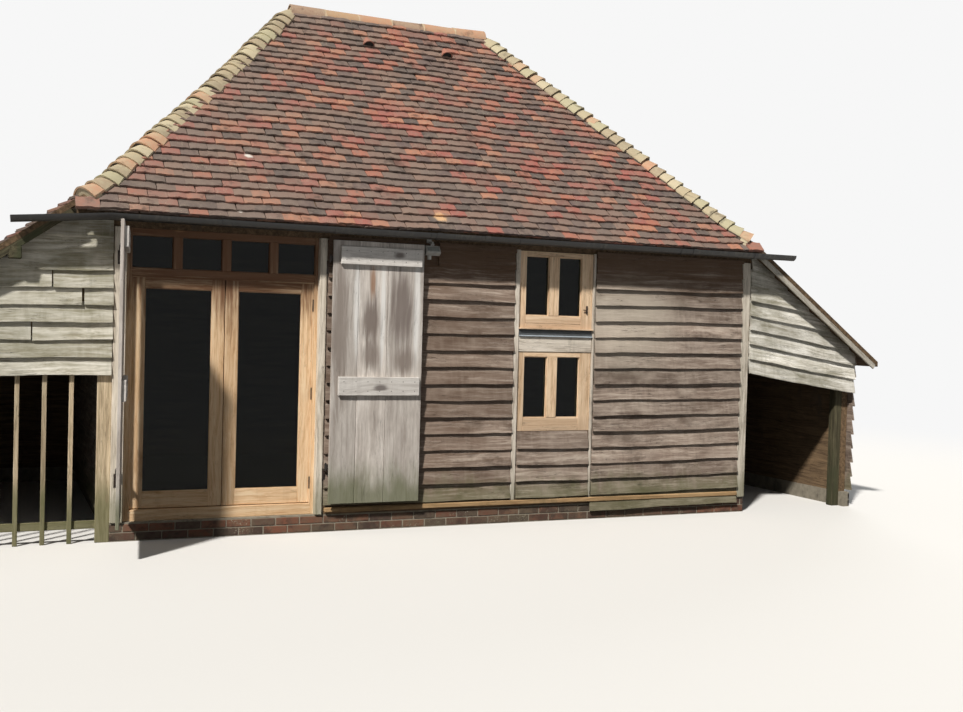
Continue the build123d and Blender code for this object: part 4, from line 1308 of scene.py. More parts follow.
            def shell(r: Array, s: Array) -> Array:
                """Grid of points at distances r from the hood's middle line."""
                return slope.place(x + r * np.sin(turn), s, self.hood_lift + r * np.cos(turn))

            hoods.slabs(*(shell(radius * (1.0 - self.hood_narrowing * ends), s)
                          for radius in (self.hood_radius, self.hood_radius - self.hood_wall)),
                        tone=0.3)
            disc = self.mouth_radius * down(0.0, 1.0) + 0.0 * turn
            mouths.slabs(*(shell(disc, s[:, :1] - deep + 0.0 * disc)
                           for deep in self.mouth_depths), tone=0.5)
        return hoods, mouths

    def build(self) -> None:
        """Lay the tiles of every slope, and the vent hoods of the front one."""
        for index, slope in enumerate(roof_slopes(self.layout)):
            thing = self.tiles(slope, Dice(100 + index)).mesh("tiles_" + slope.name, smooth=0.6)
            dress(thing, "tile")
            if slope.name == "front":
                hoods, mouths = self.vent_hoods(slope)
                dress(hoods.mesh("vent_hoods", smooth=0.6), "tile")
                # The dark plates in the vent mouths paint the shade inside the hoods.
                dress(mouths.mesh("vent_mouth_shade", smooth=0.6), "soot_and_shade")


@dataclass
class Hips:
    """Bonnet tiles down the four hips, one to a course, on mortar, with eaves tiles."""

    layout: Layout
    spacing: float = 0.121
    length: float = 0.185
    half_width: float = 0.142
    crown: float = 0.047
    fall: float = 0.092
    power: float = 1.9
    thickness: float = 0.017
    tail_lift: float = 0.024
    left_sag: float = 0.028
    foot_reach: float = -0.075
    foot_width: float = 0.19
    foot_length: float = 0.12
    foot_thickness: float = 0.034
    foot_tone: float = 0.58
    foot_past: float = 0.012
    foot_drop: float = 0.048
    foot_lift: float = 0.041
    mortar_gap: float = 0.002
    mortar_depth: float = 0.05
    filling_depth: float = 0.075

    def corners(self) -> tuple[Array, Array, Array]:
        """Top, fold and foot of the front right hip."""
        layout = self.layout
        return (np.array([layout.half_ridge, 0.0, layout.apex]),
                np.array([layout.break_x, -layout.break_y, layout.break_z]),
                np.array([layout.eaves_x, -layout.verge_y, layout.lean_start]))

    def line(self, along: Array) -> tuple[Array, Array]:
        """Points and directions on the front right hip at distances from its top."""
        top, fold, foot = self.corners()
        upper, lower = fold - top, foot - fold
        first = np.linalg.norm(upper)
        upper, lower = upper / first, lower / np.linalg.norm(lower)
        past = np.maximum(along - first, 0.0)[..., None]
        points = top + np.minimum(along, first)[..., None] * upper + past * lower
        return points, np.where(past > 0.0, lower, upper)

    def bonnets(self, mirror: tuple[int, int], tiles: Heap, mortar: Heap, dice: Dice) -> None:
        """Add the bonnets of one hip, the mortar under them and the lowest one's filling.

        Formula: at x from the hip line, height = crown - fall (|x| / half_width) ^ power,
        plus a lift that falls from tail to head; the width narrows by a quarter to the
        head. The mortar fills from 2 mm under the tiles down to the slopes.

        Args:
            mirror: signs of X and Y that carry the front right hip to this one.
            tiles: takes the bonnets.
            mortar: takes the mortar.
            dice: random numbers for the hip.
        """
        top, fold, foot = self.corners()
        total = math.dist(top, fold) + math.dist(fold, foot)
        count = int((total + self.foot_reach - 0.066) / self.spacing)
        each = (count, 1, 1)
        tail = (total + self.foot_reach - np.arange(count) * self.spacing
                + dice.spread(count, 0.006))[:, None, None]
        sizes = dice.between(each, 0.94, 1.06)
        swing = dice.spread(each, 0.012)
        bulge = dice.spread(each, 0.006)
        sag = self.left_sag if mirror == (-1, 1) else 0.0

        def surface(ends: Array, depth: float, share: float) -> tuple[Array, Array]:
            """Grid of the bonnets' shape at a depth, and its place within each piece."""
            spots = over(-1.0, 1.0, 13) * share
            along = np.maximum(tail - ends * self.length, 0.0) + 0.0 * spots
            points, way = self.line(along)
            side = np.stack([way[..., 1], -way[..., 0], 0.0 * way[..., 0]], -1)
            side /= np.linalg.norm(side, axis=-1, keepdims=True)
            up = np.cross(side, way)
            up *= np.sign(up[..., 2:])
            x = self.half_width * spots * sizes * (1.0 - 0.25 * ends)
            height = (self.crown + bulge - self.fall * np.abs(x / self.half_width) ** self.power
                      + self.tail_lift * (1.0 - 1.7 * ends) - depth
                      - sag * np.sin(math.pi * np.clip(along / total, 0.0, 1.0)) ** 2)
            places = points + (x + swing)[..., None] * side + height[..., None] * up
            return places * (*mirror, 1.0), np.stack([along - tail, x, height], -1)

        def lay(heap: Heap, ends: Array, depths: tuple[float, float], share: float,
                tone: Union[Array, float], shift: Union[Array, float] = 0.0,
                shown: slice = slice(None)) -> None:
            """Add the layer between two depths, as much of it as is shown."""
            sides = [surface(ends, depth, share) for depth in depths]
            heap.slabs(*(places[shown] for places, _ in sides), tone,
                       [local[shown] + shift for _, local in sides])

        shift = dice.spread((*each, 3), 30.0)
        tone = dice.tone(count)
        tone[0] = self.foot_tone
        under = self.thickness
        lay(tiles, down(0.0, 0.35, 1.0), (0.0, under), 1.0, tone, shift)
        lay(mortar, down(0.12, 0.7), (under + self.mortar_gap, under + self.mortar_depth), 0.94,
            dice.tone(count), shift)
        lay(tiles, down(0.05, 0.5), (under + 0.5 * self.mortar_gap, under + self.filling_depth),
            0.96, 0.25, shown=slice(1))

    def foot_tiles(self) -> Heap:
        """Eaves tiles that square off the corners of the roof below the last bonnets.

        Formula: u runs inwards from 12 mm past the hip's foot, s = tail - along, and the
        lift falls from tail to head.
        """
        heap = Heap()
        ends, spots = down(0.0, 0.5, 1.0), over(0.0, 1.0, 7)
        for slope in roof_slopes(self.layout)[:2]:
            for side in (-1.0, 1.0):
                edge = self.layout.eaves_x + self.foot_past
                u = side * (edge - self.foot_width * spots) + 0.0 * ends
                s = (slope.length + self.foot_drop - self.foot_length * ends
                     + 0.004 * np.sin(9.0 * spots))
                lift = self.foot_lift - 0.004 * ends + 0.003 * np.sin(3.0 * spots)
                local = np.stack([s - slope.length, u, lift + 0.0 * u], -1)
                heap.slabs(slope.place(u, s, lift), slope.place(u, s, lift - self.foot_thickness),
                           tone=0.3, grain=(local, local - (0.0, 0.0, self.foot_thickness)))
        return heap

    def build(self) -> None:
        """Lay the bonnets, the mortar and the eaves tiles at their feet."""
        tiles, mortar = Heap(), Heap()
        for index, mirror in enumerate(((1, 1), (1, -1), (-1, -1), (-1, 1))):
            self.bonnets(mirror, tiles, mortar, Dice(200 + index))
        dress(tiles.mesh("bonnet_tiles", smooth=0.7), "bonnet", nodes=["hip_tiles"])
        dress(self.foot_tiles().mesh("foot_tiles", smooth=0.6), "tile")
        dress(mortar.mesh("hip_bedding", smooth=0.7), "hip_mortar")


@dataclass
class Ridge:
    """Half-round ridge tiles on a mortar bed, with mortar over their joints."""

    layout: Layout
    radius: float = 0.12
    thickness: float = 0.014
    centre: float = 5.31
    sag: float = 0.014
    count: int = 6
    lap: float = 0.02
    joint: float = 0.018
    bed_radius: float = 0.112
    bed_end: float = 0.012
    bed_drop: float = 0.016
    bed_bite: float = 0.03
    joint_faces: tuple[float, float] = (0.003, -0.010)

    def line(self, x: Array) -> Array:
        """Height of the tiles' centre line, which sags in the middle of the ridge."""
        end = self.layout.half_ridge + self.lap
        return self.centre - self.sag * (1.0 - (x / end) ** 2)

    def build(self) -> None:
        """Lay the tiles, the bed and the joints.

        Formula: at an angle a from the top, y = r sin a and z = centre + r cos a. The bed
        runs from just inside the tiles down to the slopes.
        """
        dice = Dice(210)
        end = self.layout.half_ridge + self.lap
        size = 2.0 * end / self.count
        each = (self.count, 1, 1)
        start = (-end + size * np.arange(self.count))[:, None, None]
        turn, ends = over(-0.5, 0.5, 17) * math.pi, down(0.004, 0.05, 0.5, 0.95, 0.996)
        tilt = dice.spread(each, 0.008)
        lift = dice.spread(each, 0.004)
        wide = dice.between(each, 0.97, 1.02)

        def shell(x: Array, r: Array, centre: Array) -> Array:
            """Grid of points at distances r from a centre line."""
            r = r + 0.0 * x
            return np.stack([x, r * np.sin(turn), centre + r * np.cos(turn)], -1)

        x = start + ends * size + 0.0 * turn
        centre = self.line(x) + lift + tilt * (ends - 0.5)
        shift = dice.spread((*each, 3), 30.0)
        sides = [shell(x, radius * wide, centre)
                 for radius in (self.radius, self.radius - self.thickness)]
        tiles, bed = Heap(), Heap()
        tiles.slabs(*sides, dice.tone(self.count), [side + shift for side in sides])
        spots = over(-1.0, 1.0, 13)
        x = down(*np.linspace(-end + self.bed_end, end - self.bed_end, 13)) + 0.0 * spots
        y = self.bed_radius * spots + 0.0 * x
        high = (self.line(x) - self.bed_drop
                + np.sqrt(np.maximum(self.bed_radius ** 2 - y ** 2, 0.0)))
        low = self.layout.apex - self.bed_bite - np.abs(y) * math.tan(self.layout.pitch)
        bed.slabs(np.stack([x, y, high], -1), np.stack([x, y, low], -1), dice.tone(1))
        x = start[1:] + down(-0.5, 0.5) * self.joint * (1.0 + 0.5 * np.sin(7.0 * turn + start[1:]))
        bed.slabs(*(shell(x, self.radius + face, self.line(x)) for face in self.joint_faces),
                  dice.tone(self.count - 1))
        dress(tiles.mesh("ridge_capping", smooth=0.6), "ridge",
              nodes=["ridge_tiles"])
        dress(bed.mesh("ridge_bedding", smooth=0.6), "ridge_mortar")


@dataclass(frozen=True)
class Panel:
    """A stretch of boarded wall.

    Attributes:
        start: the outer face's corner at ground level, where u is 0.
        along: unit direction of u.
        out: unit direction out of the wall.
        length: size along u.
        low: height of the lowest lip at u = 0.
        high: height that the boards stop under.
        exposure: height from one lip to the next.
        fall: rise of the lips for each metre of u.
        eaves: x at u = 0 and its change for each metre, where the boards stop under a
            lean-to roof.
        joints: places along u where boards meet end to end.
        turn: how many rows apart the panel's rows are, and the first of them.
    """

    start: Point
    along: Point
    out: Point
    length: float
    low: float
    high: float
    exposure: float = 0.163
    fall: float = 0.0
    eaves: Optional[float] = None
    joints: tuple[float, ...] = ()
    turn: tuple[int, int] = (1, 0)

    def ceiling(self, u: Array) -> Array:
        """Height that the boards stop under at places along the panel."""
        if self.eaves is None:
            return self.high + 0.0 * u
        return np.minimum(self.high, LAYOUT.lean_under(u + self.eaves) - 0.004)

    def staggered(self, *joints: tuple[float, ...]) -> list["Panel"]:
        """The panel's rows taken by turns, each turn with its own end joints."""
        return [replace(self, joints=places, turn=(len(joints), index))
                for index, places in enumerate(joints)]


@dataclass
class Weatherboarding:
    """Sawn weatherboards with wavy lower edges, each lapped over the one below."""

    layout: Layout
    lip: float = 0.052
    tuck: float = 0.008
    lap: float = 0.035
    thickness: float = 0.026
    waver: float = 0.006
    bow: float = 0.004
    station: float = 0.09
    end_gap: float = 0.009

    def boards(self, panel: Panel, heap: Heap, dice: Dice) -> None:
        """Add the boards of one panel.

        Formula: a board's face leans from the lip's distance out of the wall at its foot
        to the tuck's at its head, and its foot strays by a ripple along the board.

        Args:
            panel: the stretch of wall.
            heap: takes the boards.
            dice: random numbers for the panel.
        """
        edges = [0.0, *panel.joints, panel.length]
        rows = np.arange(-1 if panel.fall else 0,
                         int((panel.high - panel.low) / panel.exposure) + 3)
        rows = rows[rows % panel.turn[0] == panel.turn[1]]
        stations = max(int(panel.length / self.station / (len(edges) - 1)), 4)
        share = np.linspace(0.0, 1.0, stations)[None, :, None]
        heights = np.array([0.0, 0.02, 0.5, 1.0])
        deep = panel.exposure + self.lap
        axes = np.array([panel.along, UP, panel.out])
        for left, right in zip(edges[:-1], edges[1:]):
            level = (panel.low + panel.exposure * rows)[:, None, None]
            u = left + 0.002 + share * (right - left - 0.004)
            room = (panel.ceiling(u) - (level + panel.fall * u))[:, :, 0]
            shown = ((room.max(1) > 0.02)
                     & (level[:, 0, 0] + max(panel.fall * right, 0.0) > 0.0))
            level, ends = level[shown], self._shown_ends(room[shown], u[0, :, 0])
            ends[:, 0] += dice.between(len(level), 0.0, self.end_gap)
            ends[:, 1] -= dice.between(len(level), 0.0, self.end_gap)
            u = ends[:, :1, None] + share * (ends[:, 1:, None] - ends[:, :1, None])
            phase = dice.spread((len(level), 1, 1), 40.0)
            foot = level + panel.fall * u + self.waver * ripple(u, phase, 1.9)
            top = np.maximum(np.minimum(foot + deep, panel.ceiling(u)), foot + 0.004)
            z = foot + heights * (top - foot)
            spread = dice.between((len(level), 1, 1), 0.88, 1.08)
            full = (z - foot) / deep
            face = ((self.tuck + (self.lip - self.tuck) * (1.0 - full)) * spread
                    + self.bow * ripple(u, phase + 3.0, 2.4))
            face = np.where(heights == 0.0, face * 0.93, face)
            back = np.maximum(face - self.thickness * (1.0 - 0.6 * full), -0.004)
            u = u + 0.0 * z
            shift = dice.spread((len(level), 1, 1, 3), 30.0)
            local = np.stack([u, z - foot, face], -1) + shift
            heap.slabs(*(panel.start + np.stack([u, z, out], -1) @ axes for out in (face, back)),
                       dice.tone(len(level)), (local, local - (0.0, 0.0, 0.02)))

    @staticmethod
    def _shown_ends(room: Array, u: Array) -> Array:
        """First and last place along each board that lies under the ceiling."""
        free = room > 0.012
        first = np.argmax(free, 1)
        last = free.shape[1] - 1 - np.argmax(free[:, ::-1], 1)
        first = np.minimum(first, last - 1).clip(0)
        return np.stack([u[first], u[np.maximum(last, first + 1)]], 1)

    def build(self) -> None:
        """Board every wall, and set the block behind the lamp."""
        layout = self.layout
        front, back, reach = -layout.wall_y, layout.wall_y, layout.lean_wall
        high = layout.plate_z + 0.02
        self._wall("front", "board", [
            Panel((-1.250, front, 0.0), RIGHT, FRONT, 1.931, 0.250, 2.55),
            Panel((0.733, front, 0.0), RIGHT, FRONT, 0.830, 0.250, 0.917),
            Panel((1.590, front, 0.0), RIGHT, FRONT, 1.837, 0.252, high, fall=0.012),
            Panel((-1.250, front, 0.0), RIGHT, FRONT, 0.915, 2.532, high),
            Panel((-0.150, front, 0.0), RIGHT, FRONT, 0.831, 2.532, high)], seed=300)
        joinery("lamp_block", "board", [
            Timber((-0.334, front - 0.024, 2.668), (-0.151, front + 0.002, high - 0.01), Axis.X),
            Timber((-0.334, front - 0.0015, 2.538), (-0.151, front + 0.008, 2.667), Axis.X)],
                seed=360, chamfer=0.001)
        self._wall("leanto_left", "bleached", Panel(
            (-reach, front, 0.0), RIGHT, FRONT, reach + layout.wall_left, 1.563, 4.0, 0.149,
            0.021, -reach).staggered((), (1.237,), (), (1.644,), (1.4,), (), (), (), ()),
            seed=310)
        self._wall("leanto_right", "bleached", [Panel(
            (layout.wall_right, front, 0.0), RIGHT, FRONT, reach - layout.wall_right, 1.683, 4.0,
            0.160, -0.145, layout.wall_right)], seed=320)
        side_top = float(layout.lean_under(np.array(reach))) - 0.01
        self._wall("leanto_sides", "board", [
            *Panel((reach, front, 0.0), BACK, RIGHT, 2.0 * back, 0.18,
                   side_top).staggered((1.9,), (), (2.7,)),
            *Panel((-reach, back, 0.0), FRONT, LEFT, 2.0 * back, 0.18,
                   side_top).staggered((), (2.4,), (1.5,))], seed=330)
        self._wall("back", "board", Panel(
            (reach, back, 0.0), LEFT, BACK, 2.0 * reach, 0.18, high, eaves=-reach).staggered(
                (3.1, 6.6), (1.7, 5.2, 8.4), (4.1, 7.5), (2.5, 5.9)), seed=340)
        inner = layout.wall_y - 0.125
        self._wall("ends", "board", [
            Panel((layout.wall_left, inner, 0.0), FRONT, LEFT, 2.0 * inner, 0.18, 2.9),
            Panel((layout.wall_right, -inner, 0.0), BACK, RIGHT, 2.0 * inner, 0.18, 2.9)],
            seed=350)

    def _wall(self, name: str, finish: str, panels: Sequence[Panel], seed: int) -> None:
        """Board several panels as one piece."""
        heap, dice = Heap(), Dice(seed)
        for panel in panels:
            self.boards(panel, heap, dice)
        dress(heap.mesh("boards_" + name, smooth=0.35), finish)


@dataclass
class Brickwork:
    """Two courses of brick on every outer face of the footing."""

    layout: Layout
    long: float = 0.215
    high: float = 0.065
    joint: float = 0.010
    proud: float = 0.005
    bite: float = 0.02
    courses: int = 2
    shortest: float = 0.03

    def face(self, start: Point, along: Point, out: Point, length: float, heap: Heap,
             dice: Dice) -> None:
        """Add the bricks of one face.

        Args:
            start: the face's corner on the ground.
            along: unit direction along the face.
            out: unit direction out of it.
            length: the face's length.
            heap: takes the bricks.
            dice: random numbers.
        """
        pitch = self.long + self.joint
        course, index = (grid.ravel() for grid in np.meshgrid(
            np.arange(self.courses), np.arange(int(length / pitch) + 2), indexing="ij"))
        low = (index - 0.5 * (course % 2)) * pitch
        left, right = np.maximum(low, 0.0), np.minimum(low + self.long, length)
        keep = right - left > self.shortest
        left, right, course = left[keep], right[keep], course[keep]
        count = len(left)
        size = np.stack([right - left, np.full(count, self.high),
                         np.full(count, self.proud + self.bite)], -1)
        axes = np.array([along, UP, out])
        bottom = self.joint + course * (self.high + self.joint)
        depth = dice.spread((count, 1), 0.0015)[:, 0] - self.bite
        origin = np.array(start) + np.stack([left, bottom, depth], -1) @ axes
        heap.beams(origin, np.repeat(axes[None], count, 0), size, dice, chamfer=0.004)

    def build(self) -> None:
        """Lay the bricks all round."""
        layout = self.layout
        heap, dice = Heap(), Dice(400)
        reach, y = layout.lean_wall, layout.wall_y
        for start, along, out, length in (
                ((layout.wall_left, -y, 0.0), RIGHT, FRONT, layout.wall_right - layout.wall_left),
                ((reach, y, 0.0), LEFT, BACK, 2.0 * reach),
                ((reach, -y, 0.0), BACK, RIGHT, 2.0 * y),
                ((-reach, y, 0.0), FRONT, LEFT, 2.0 * y)):
            self.face(start, along, out, length, heap, dice)
        dress(heap.mesh("plinth_bricks", smooth=0.5), "brick")


@dataclass
class Doorway:
    """Oak door frame with four lights over the leaves, between its posts."""

    layout: Layout
    left: float = -3.033
    right: float = -1.297
    front: float = -2.035
    depth: float = 0.075
    jamb: float = 0.048
    head: float = 0.060
    bar: tuple[float, float] = (2.322, 2.390)
    mullion: float = 0.078
    lights: int = 4
    threshold: float = 0.265
    stop: float = 0.012
    stop_depth: float = 0.022
    bead_inset: float = 0.018
    post_face: float = -2.105
    post_back: float = -1.96
    hinge_heights: tuple[float, ...] = (0.46, 1.29, 2.11)
    hinge_half: float = 0.056

    def frame(self) -> list[Timber]:
        """Timbers of the frame."""
        y0, y1, stop = self.front, self.front + self.depth, self.front + self.stop_depth
        left, right = self.left + self.jamb, self.right - self.jamb
        base, plate = self.layout.plinth, self.layout.plate_z
        top = plate - self.head
        timbers = [
            Timber((self.left, y0, base), (left, y1, plate), Axis.Z),
            Timber((right, y0, base), (self.right, y1, plate), Axis.Z),
            Timber((left, y0, self.bar[0]), (right, y1, self.bar[1]), Axis.X),
            Timber((left, y0, base), (right, y1, self.threshold), Axis.X),
            Timber((left, y0, top), (right, y1, plate), Axis.X),
            Timber((left, y0, self.threshold), (left + self.stop, stop, self.bar[0]), Axis.Z),
            Timber((right - self.stop, y0, self.threshold), (right, stop, self.bar[0]), Axis.Z),
            Timber((left + self.stop, y0, self.bar[0] - self.stop),
                   (right - self.stop, stop, self.bar[0]), Axis.X)]
        wide = (right - left - (self.lights - 1) * self.mullion) / self.lights
        for index in range(self.lights):
            x = left + index * (wide + self.mullion)
            if index:
                timbers.append(Timber((x - self.mullion, y0, self.bar[1]), (x, y1, top), Axis.Z))
            timbers.extend(beads((x, x + wide), (self.bar[1], top), y0 + self.bead_inset))
        return timbers

    def posts(self) -> list[Timber]:
        """Upright posts beside the doorway and at the front corner."""
        layout = self.layout
        spans = ((layout.wall_left, self.left, self.post_face),
                 (self.right - 0.021, self.right + 0.045, self.post_face),
                 (self.right + 0.045, self.right + 0.067, -layout.wall_y + 0.002),
                 (layout.wall_right - 0.106, layout.wall_right, self.post_face))
        return [Timber((low, face, layout.plinth), (end, self.post_back, layout.plate_z), Axis.Z)
                for low, end, face in spans]

    def hinges(self) -> list[Timber]:
        """Edges of the butt hinges that show beside the right-hand leaf."""
        edge = self.right - self.jamb - self.stop
        return [Timber((edge - 0.007, self.front - 0.002, height - self.hinge_half),
                       (edge + 0.002, self.front + 0.01, height + self.hinge_half), Axis.Z)
                for height in self.hinge_heights]

    def build(self) -> None:
        """Make the frame, the posts, the hinges' edges and the drip board."""
        joinery("oak_door_frame", "oak", self.frame(), seed=500, chamfer=0.0035,
                bow=0.0008, nodes=["door_frame"])
        joinery("door_hinge_edges", "iron", self.hinges(), seed=502,
                chamfer=0.001)
        joinery("oak_posts", "post", self.posts(), seed=501, chamfer=0.005,
                bow=0.002, nodes=["wall_posts"])
        drip = Timber((-1.23, -2.125, 0.185), (3.427, -2.078, 0.232), Axis.X)
        joinery("drip_rail", "tan", [drip], seed=503, chamfer=0.008, bow=0.0015,
                nodes=["drip_board"])


@dataclass
class GlazedLeaf:
    """One glazed door leaf; side is -1 for the left leaf and 1 for the right."""

    side: int
    hinge_edge: float
    body: Body
    meet_centre: float = -2.165
    y0: float = -2.008
    y1: float = -1.964
    z0: float = 0.273
    z1: float = 2.317
    stile: float = 0.115
    top_rail: float = 0.100
    bottom_rail: float = 0.145
    side_gap: float = 0.005
    meeting_gap: float = 0.0035
    hinges: tuple[float, ...] = (0.48, 1.30, 2.12)
    hinge_half: float = 0.018
    pin_y: float = -1.9525
    knuckle: tuple[float, float] = (0.007, 0.0037)
    flap: float = 0.03
    flap_depth: float = 0.0025

    def build(self) -> None:
        """Make the leaf's timbers, beads and hinges."""
        name = "left" if self.side < 0 else "right"
        outer = self.hinge_edge - self.side * self.side_gap
        low, high = sorted((outer, self.meet_centre + self.side * self.meeting_gap))
        inner = (low + self.stile, high - self.stile)
        rails = (self.z0 + self.bottom_rail, self.z1 - self.top_rail)
        timbers = [Timber((low, self.y0, self.z0), (inner[0], self.y1, self.z1), Axis.Z),
                   Timber((inner[1], self.y0, self.z0), (high, self.y1, self.z1), Axis.Z),
                   Timber((inner[0], self.y0, self.z0), (inner[1], self.y1, rails[0]), Axis.X),
                   Timber((inner[0], self.y0, rails[1]), (inner[1], self.y1, self.z1), Axis.X),
                   *beads(inner, rails, self.y0 + 0.003)]
        joinery("oak_leaf_" + name, "oak", timbers, seed=510 + self.side, bow=0.0006,
                body=self.body, nodes=["glazed_leaf_" + name])
        hinge = Heap()
        pin_x = self.hinge_edge - self.side * self.side_gap / 2.0
        turn = over(0.0, 2.0 * math.pi, 17)
        x0, x1 = sorted((pin_x, outer - self.side * self.flap))
        for height in self.hinges:
            z0, z1 = height - self.hinge_half, height + self.hinge_half
            z = down(z0, z1) + 0.0 * turn
            hinge.slabs(*(np.stack([pin_x + r * np.cos(turn) + 0.0 * z,
                                    self.pin_y + r * np.sin(turn) + 0.0 * z, z], -1)
                          for r in self.knuckle), tone=0.5)
            flap = Timber((x0, self.y1, z0), (x1, self.y1 + self.flap_depth, z1), Axis.Z)
            hinge.timbers([flap], Dice(520), chamfer=0.0006)
        dress(hinge.mesh("leaf_hinges_" + name, smooth=0.6), "steel", self.body)


@dataclass
class OuterLeaf:
    """One ledged and boarded outer leaf, built shut and then swung to rest."""

    side: int
    inner_edge: float
    rest: float
    body: Body
    meet_centre: float = -2.165
    meeting_gap: float = 0.015
    pin_outset: float = 0.058
    pin_y: float = -2.155
    edge_gap: float = 0.019
    face_gap: float = 0.014
    thickness: float = 0.028
    foot: float = 0.275
    height: float = 2.445
    shares: tuple[float, ...] = (0.28, 0.32, 0.40)
    seam: float = 0.0015
    ledges: tuple[tuple[float, float], ...] = ((1.283, 0.175), (2.5, 0.168))
    ledge: float = 0.036
    ledge_insets: tuple[float, float] = (0.065, 0.03)
    nail_inset: float = 0.05
    nail_count: int = 7
    nail_radius: float = 0.005

    def build(self) -> None:
        """Make the boards, the ledges and the nail heads."""
        name = "left" if self.side < 0 else "right"
        pin_x = self.inner_edge + self.side * self.pin_outset
        start = pin_x - self.side * self.edge_gap
        meet = self.meet_centre + self.side * self.meeting_gap
        y0 = self.pin_y + self.face_gap
        y1 = y0 + self.thickness
        y2 = y1 + self.ledge
        seams = np.concatenate([[0.0], np.cumsum(self.shares)]) * abs(start - meet)
        boards, ledges, nails = Heap(), Heap(), Heap()
        timbers = []
        for near, far in zip(seams[:-1], seams[1:]):
            x = sorted((start - self.side * (near + self.seam),
                        start - self.side * (far - self.seam)))
            timbers.append(Timber((x[0], y0, self.foot), (x[1], y1, self.foot + self.height),
                                  Axis.Z))
        boards.timbers(timbers, Dice(530 + self.side))
        x = sorted((start - self.side * self.ledge_insets[0],
                    meet + self.side * self.ledge_insets[1]))
        ledges.timbers([Timber((x[0], y1, bottom), (x[1], y2, bottom + high), Axis.X)
                        for bottom, high in self.ledges], Dice(540 + self.side),
                       chamfer=0.005, bow=0.001)
        for bottom, high in self.ledges:
            across, level = (grid.ravel() for grid in np.meshgrid(
                np.linspace(x[0] + self.nail_inset, x[1] - self.nail_inset, self.nail_count),
                (bottom + 0.25 * high, bottom + 0.75 * high)))
            nails.domes(np.stack([across, np.full(across.size, y2), level], -1),
                        np.array(BACK), self.nail_radius, Dice(550))
        for heap, label, finish, slot, nodes in (
                (boards, "leaf_boards_", "silver", "silver_board", ["outer_leaf_" + name]),
                (ledges, "leaf_ledges_", "ledge", "silver_board", []),
                (nails, "leaf_nails_", "iron", "black_iron", [])):
            heap.turn(np.array((pin_x, self.pin_y, 0.0)), math.radians(self.rest))
            dress(heap.mesh(label + name, smooth=0.4), finish, self.body, nodes)


@dataclass
class Windows:
    """Two oak windows, one over the other, with their trim."""

    layout: Layout
    left: float = 0.731
    right: float = 1.565
    upper: tuple[float, float] = (1.95, 2.73)
    lower: tuple[float, float] = (0.92, 1.72)
    face: float = -2.09
    depth: float = 0.09
    jambs: tuple[float, float] = (0.078, 0.127)
    mullion: float = 0.113
    head: float = 0.05
    sill: float = 0.136
    sill_rail: float = 0.055
    bead_inset: float = 0.020
    drip: float = 0.045
    strips: tuple[float, float] = (0.05, 0.025)
    strip_foot: float = 0.232
    strip_depth: float = 0.032
    lead: tuple[float, float] = (1.873, 1.886)

    def frame(self, span: tuple[float, float]) -> list[Timber]:
        """Timbers of one window between two heights."""
        y0, y1 = self.face, self.face + self.depth
        low, high = span
        first, last = self.left + self.jambs[0], self.right - self.jambs[1]
        z0, z1 = low + self.sill, high - self.head
        wide = (last - first - self.mullion) / 2.0
        timbers = [Timber((self.left, y0, low), (first, y1, high), Axis.Z),
                   Timber((last, y0, low), (self.right, y1, high), Axis.Z),
                   Timber((first, y0, z1), (last, y1, high), Axis.X),
                   Timber((first + wide, y0, z0), (last - wide, y1, z1), Axis.Z),
                   Timber((first, y0, low), (last, y1, low + self.sill_rail), Axis.X),
                   Timber((first, y0 + 0.004, low + self.sill_rail + 0.002), (last, y1, z0),
                          Axis.X)]
        for x in (first, last - wide):
            timbers.extend(beads((x, x + wide), (z0, z1), y0 + self.bead_inset))
        return timbers

    def build(self) -> None:
        """Make both windows, the strips beside them and the board and lead between them."""
        left, right, face = self.left, self.right, self.face
        front, top = -self.layout.wall_y, self.layout.plate_z
        drip = Timber((left, face - self.drip, self.upper[0] - 0.005),
                      (right, face, self.upper[0] + 0.010), Axis.X)
        joinery("window_oak_frames", "window_oak",
                [*self.frame(self.upper), *self.frame(self.lower), drip], seed=600,
                bow=0.0008, nodes=["window_frames"])
        joinery("silver_strips", "silver_trim", [
            Timber((left - self.strips[0], front - self.strip_depth, self.strip_foot),
                   (left - 0.001, front, top), Axis.Z),
            Timber((right + 0.001, front - self.strip_depth, self.strip_foot),
                   (right + self.strips[1], front, top), Axis.Z),
            Timber((left + 0.002, front - 0.02, self.lower[1] + 0.001),
                   (right - 0.002, front, self.lead[0]), Axis.X)],
                seed=601, chamfer=0.004, bow=0.0015, nodes=["window_trim"])
        # Strip at the flashing's foot, in a lead colour brightened as a painted highlight.
        joinery("flashing_edge", "lead_edge_highlight", [
            Timber((left + 0.002, face - 0.031, self.lead[0]),
                   (right - 0.002, face - 0.016, self.lead[1]), Axis.X)],
                seed=603, smooth=0.5)
        joinery("window_catch", "iron", [
            Timber((1.492, -2.103, 2.117), (1.508, -2.09, 2.199), Axis.Z),
            Timber((1.455, -2.112, 2.150), (1.492, -2.102, 2.160), Axis.X)],
                seed=602, chamfer=0.002)


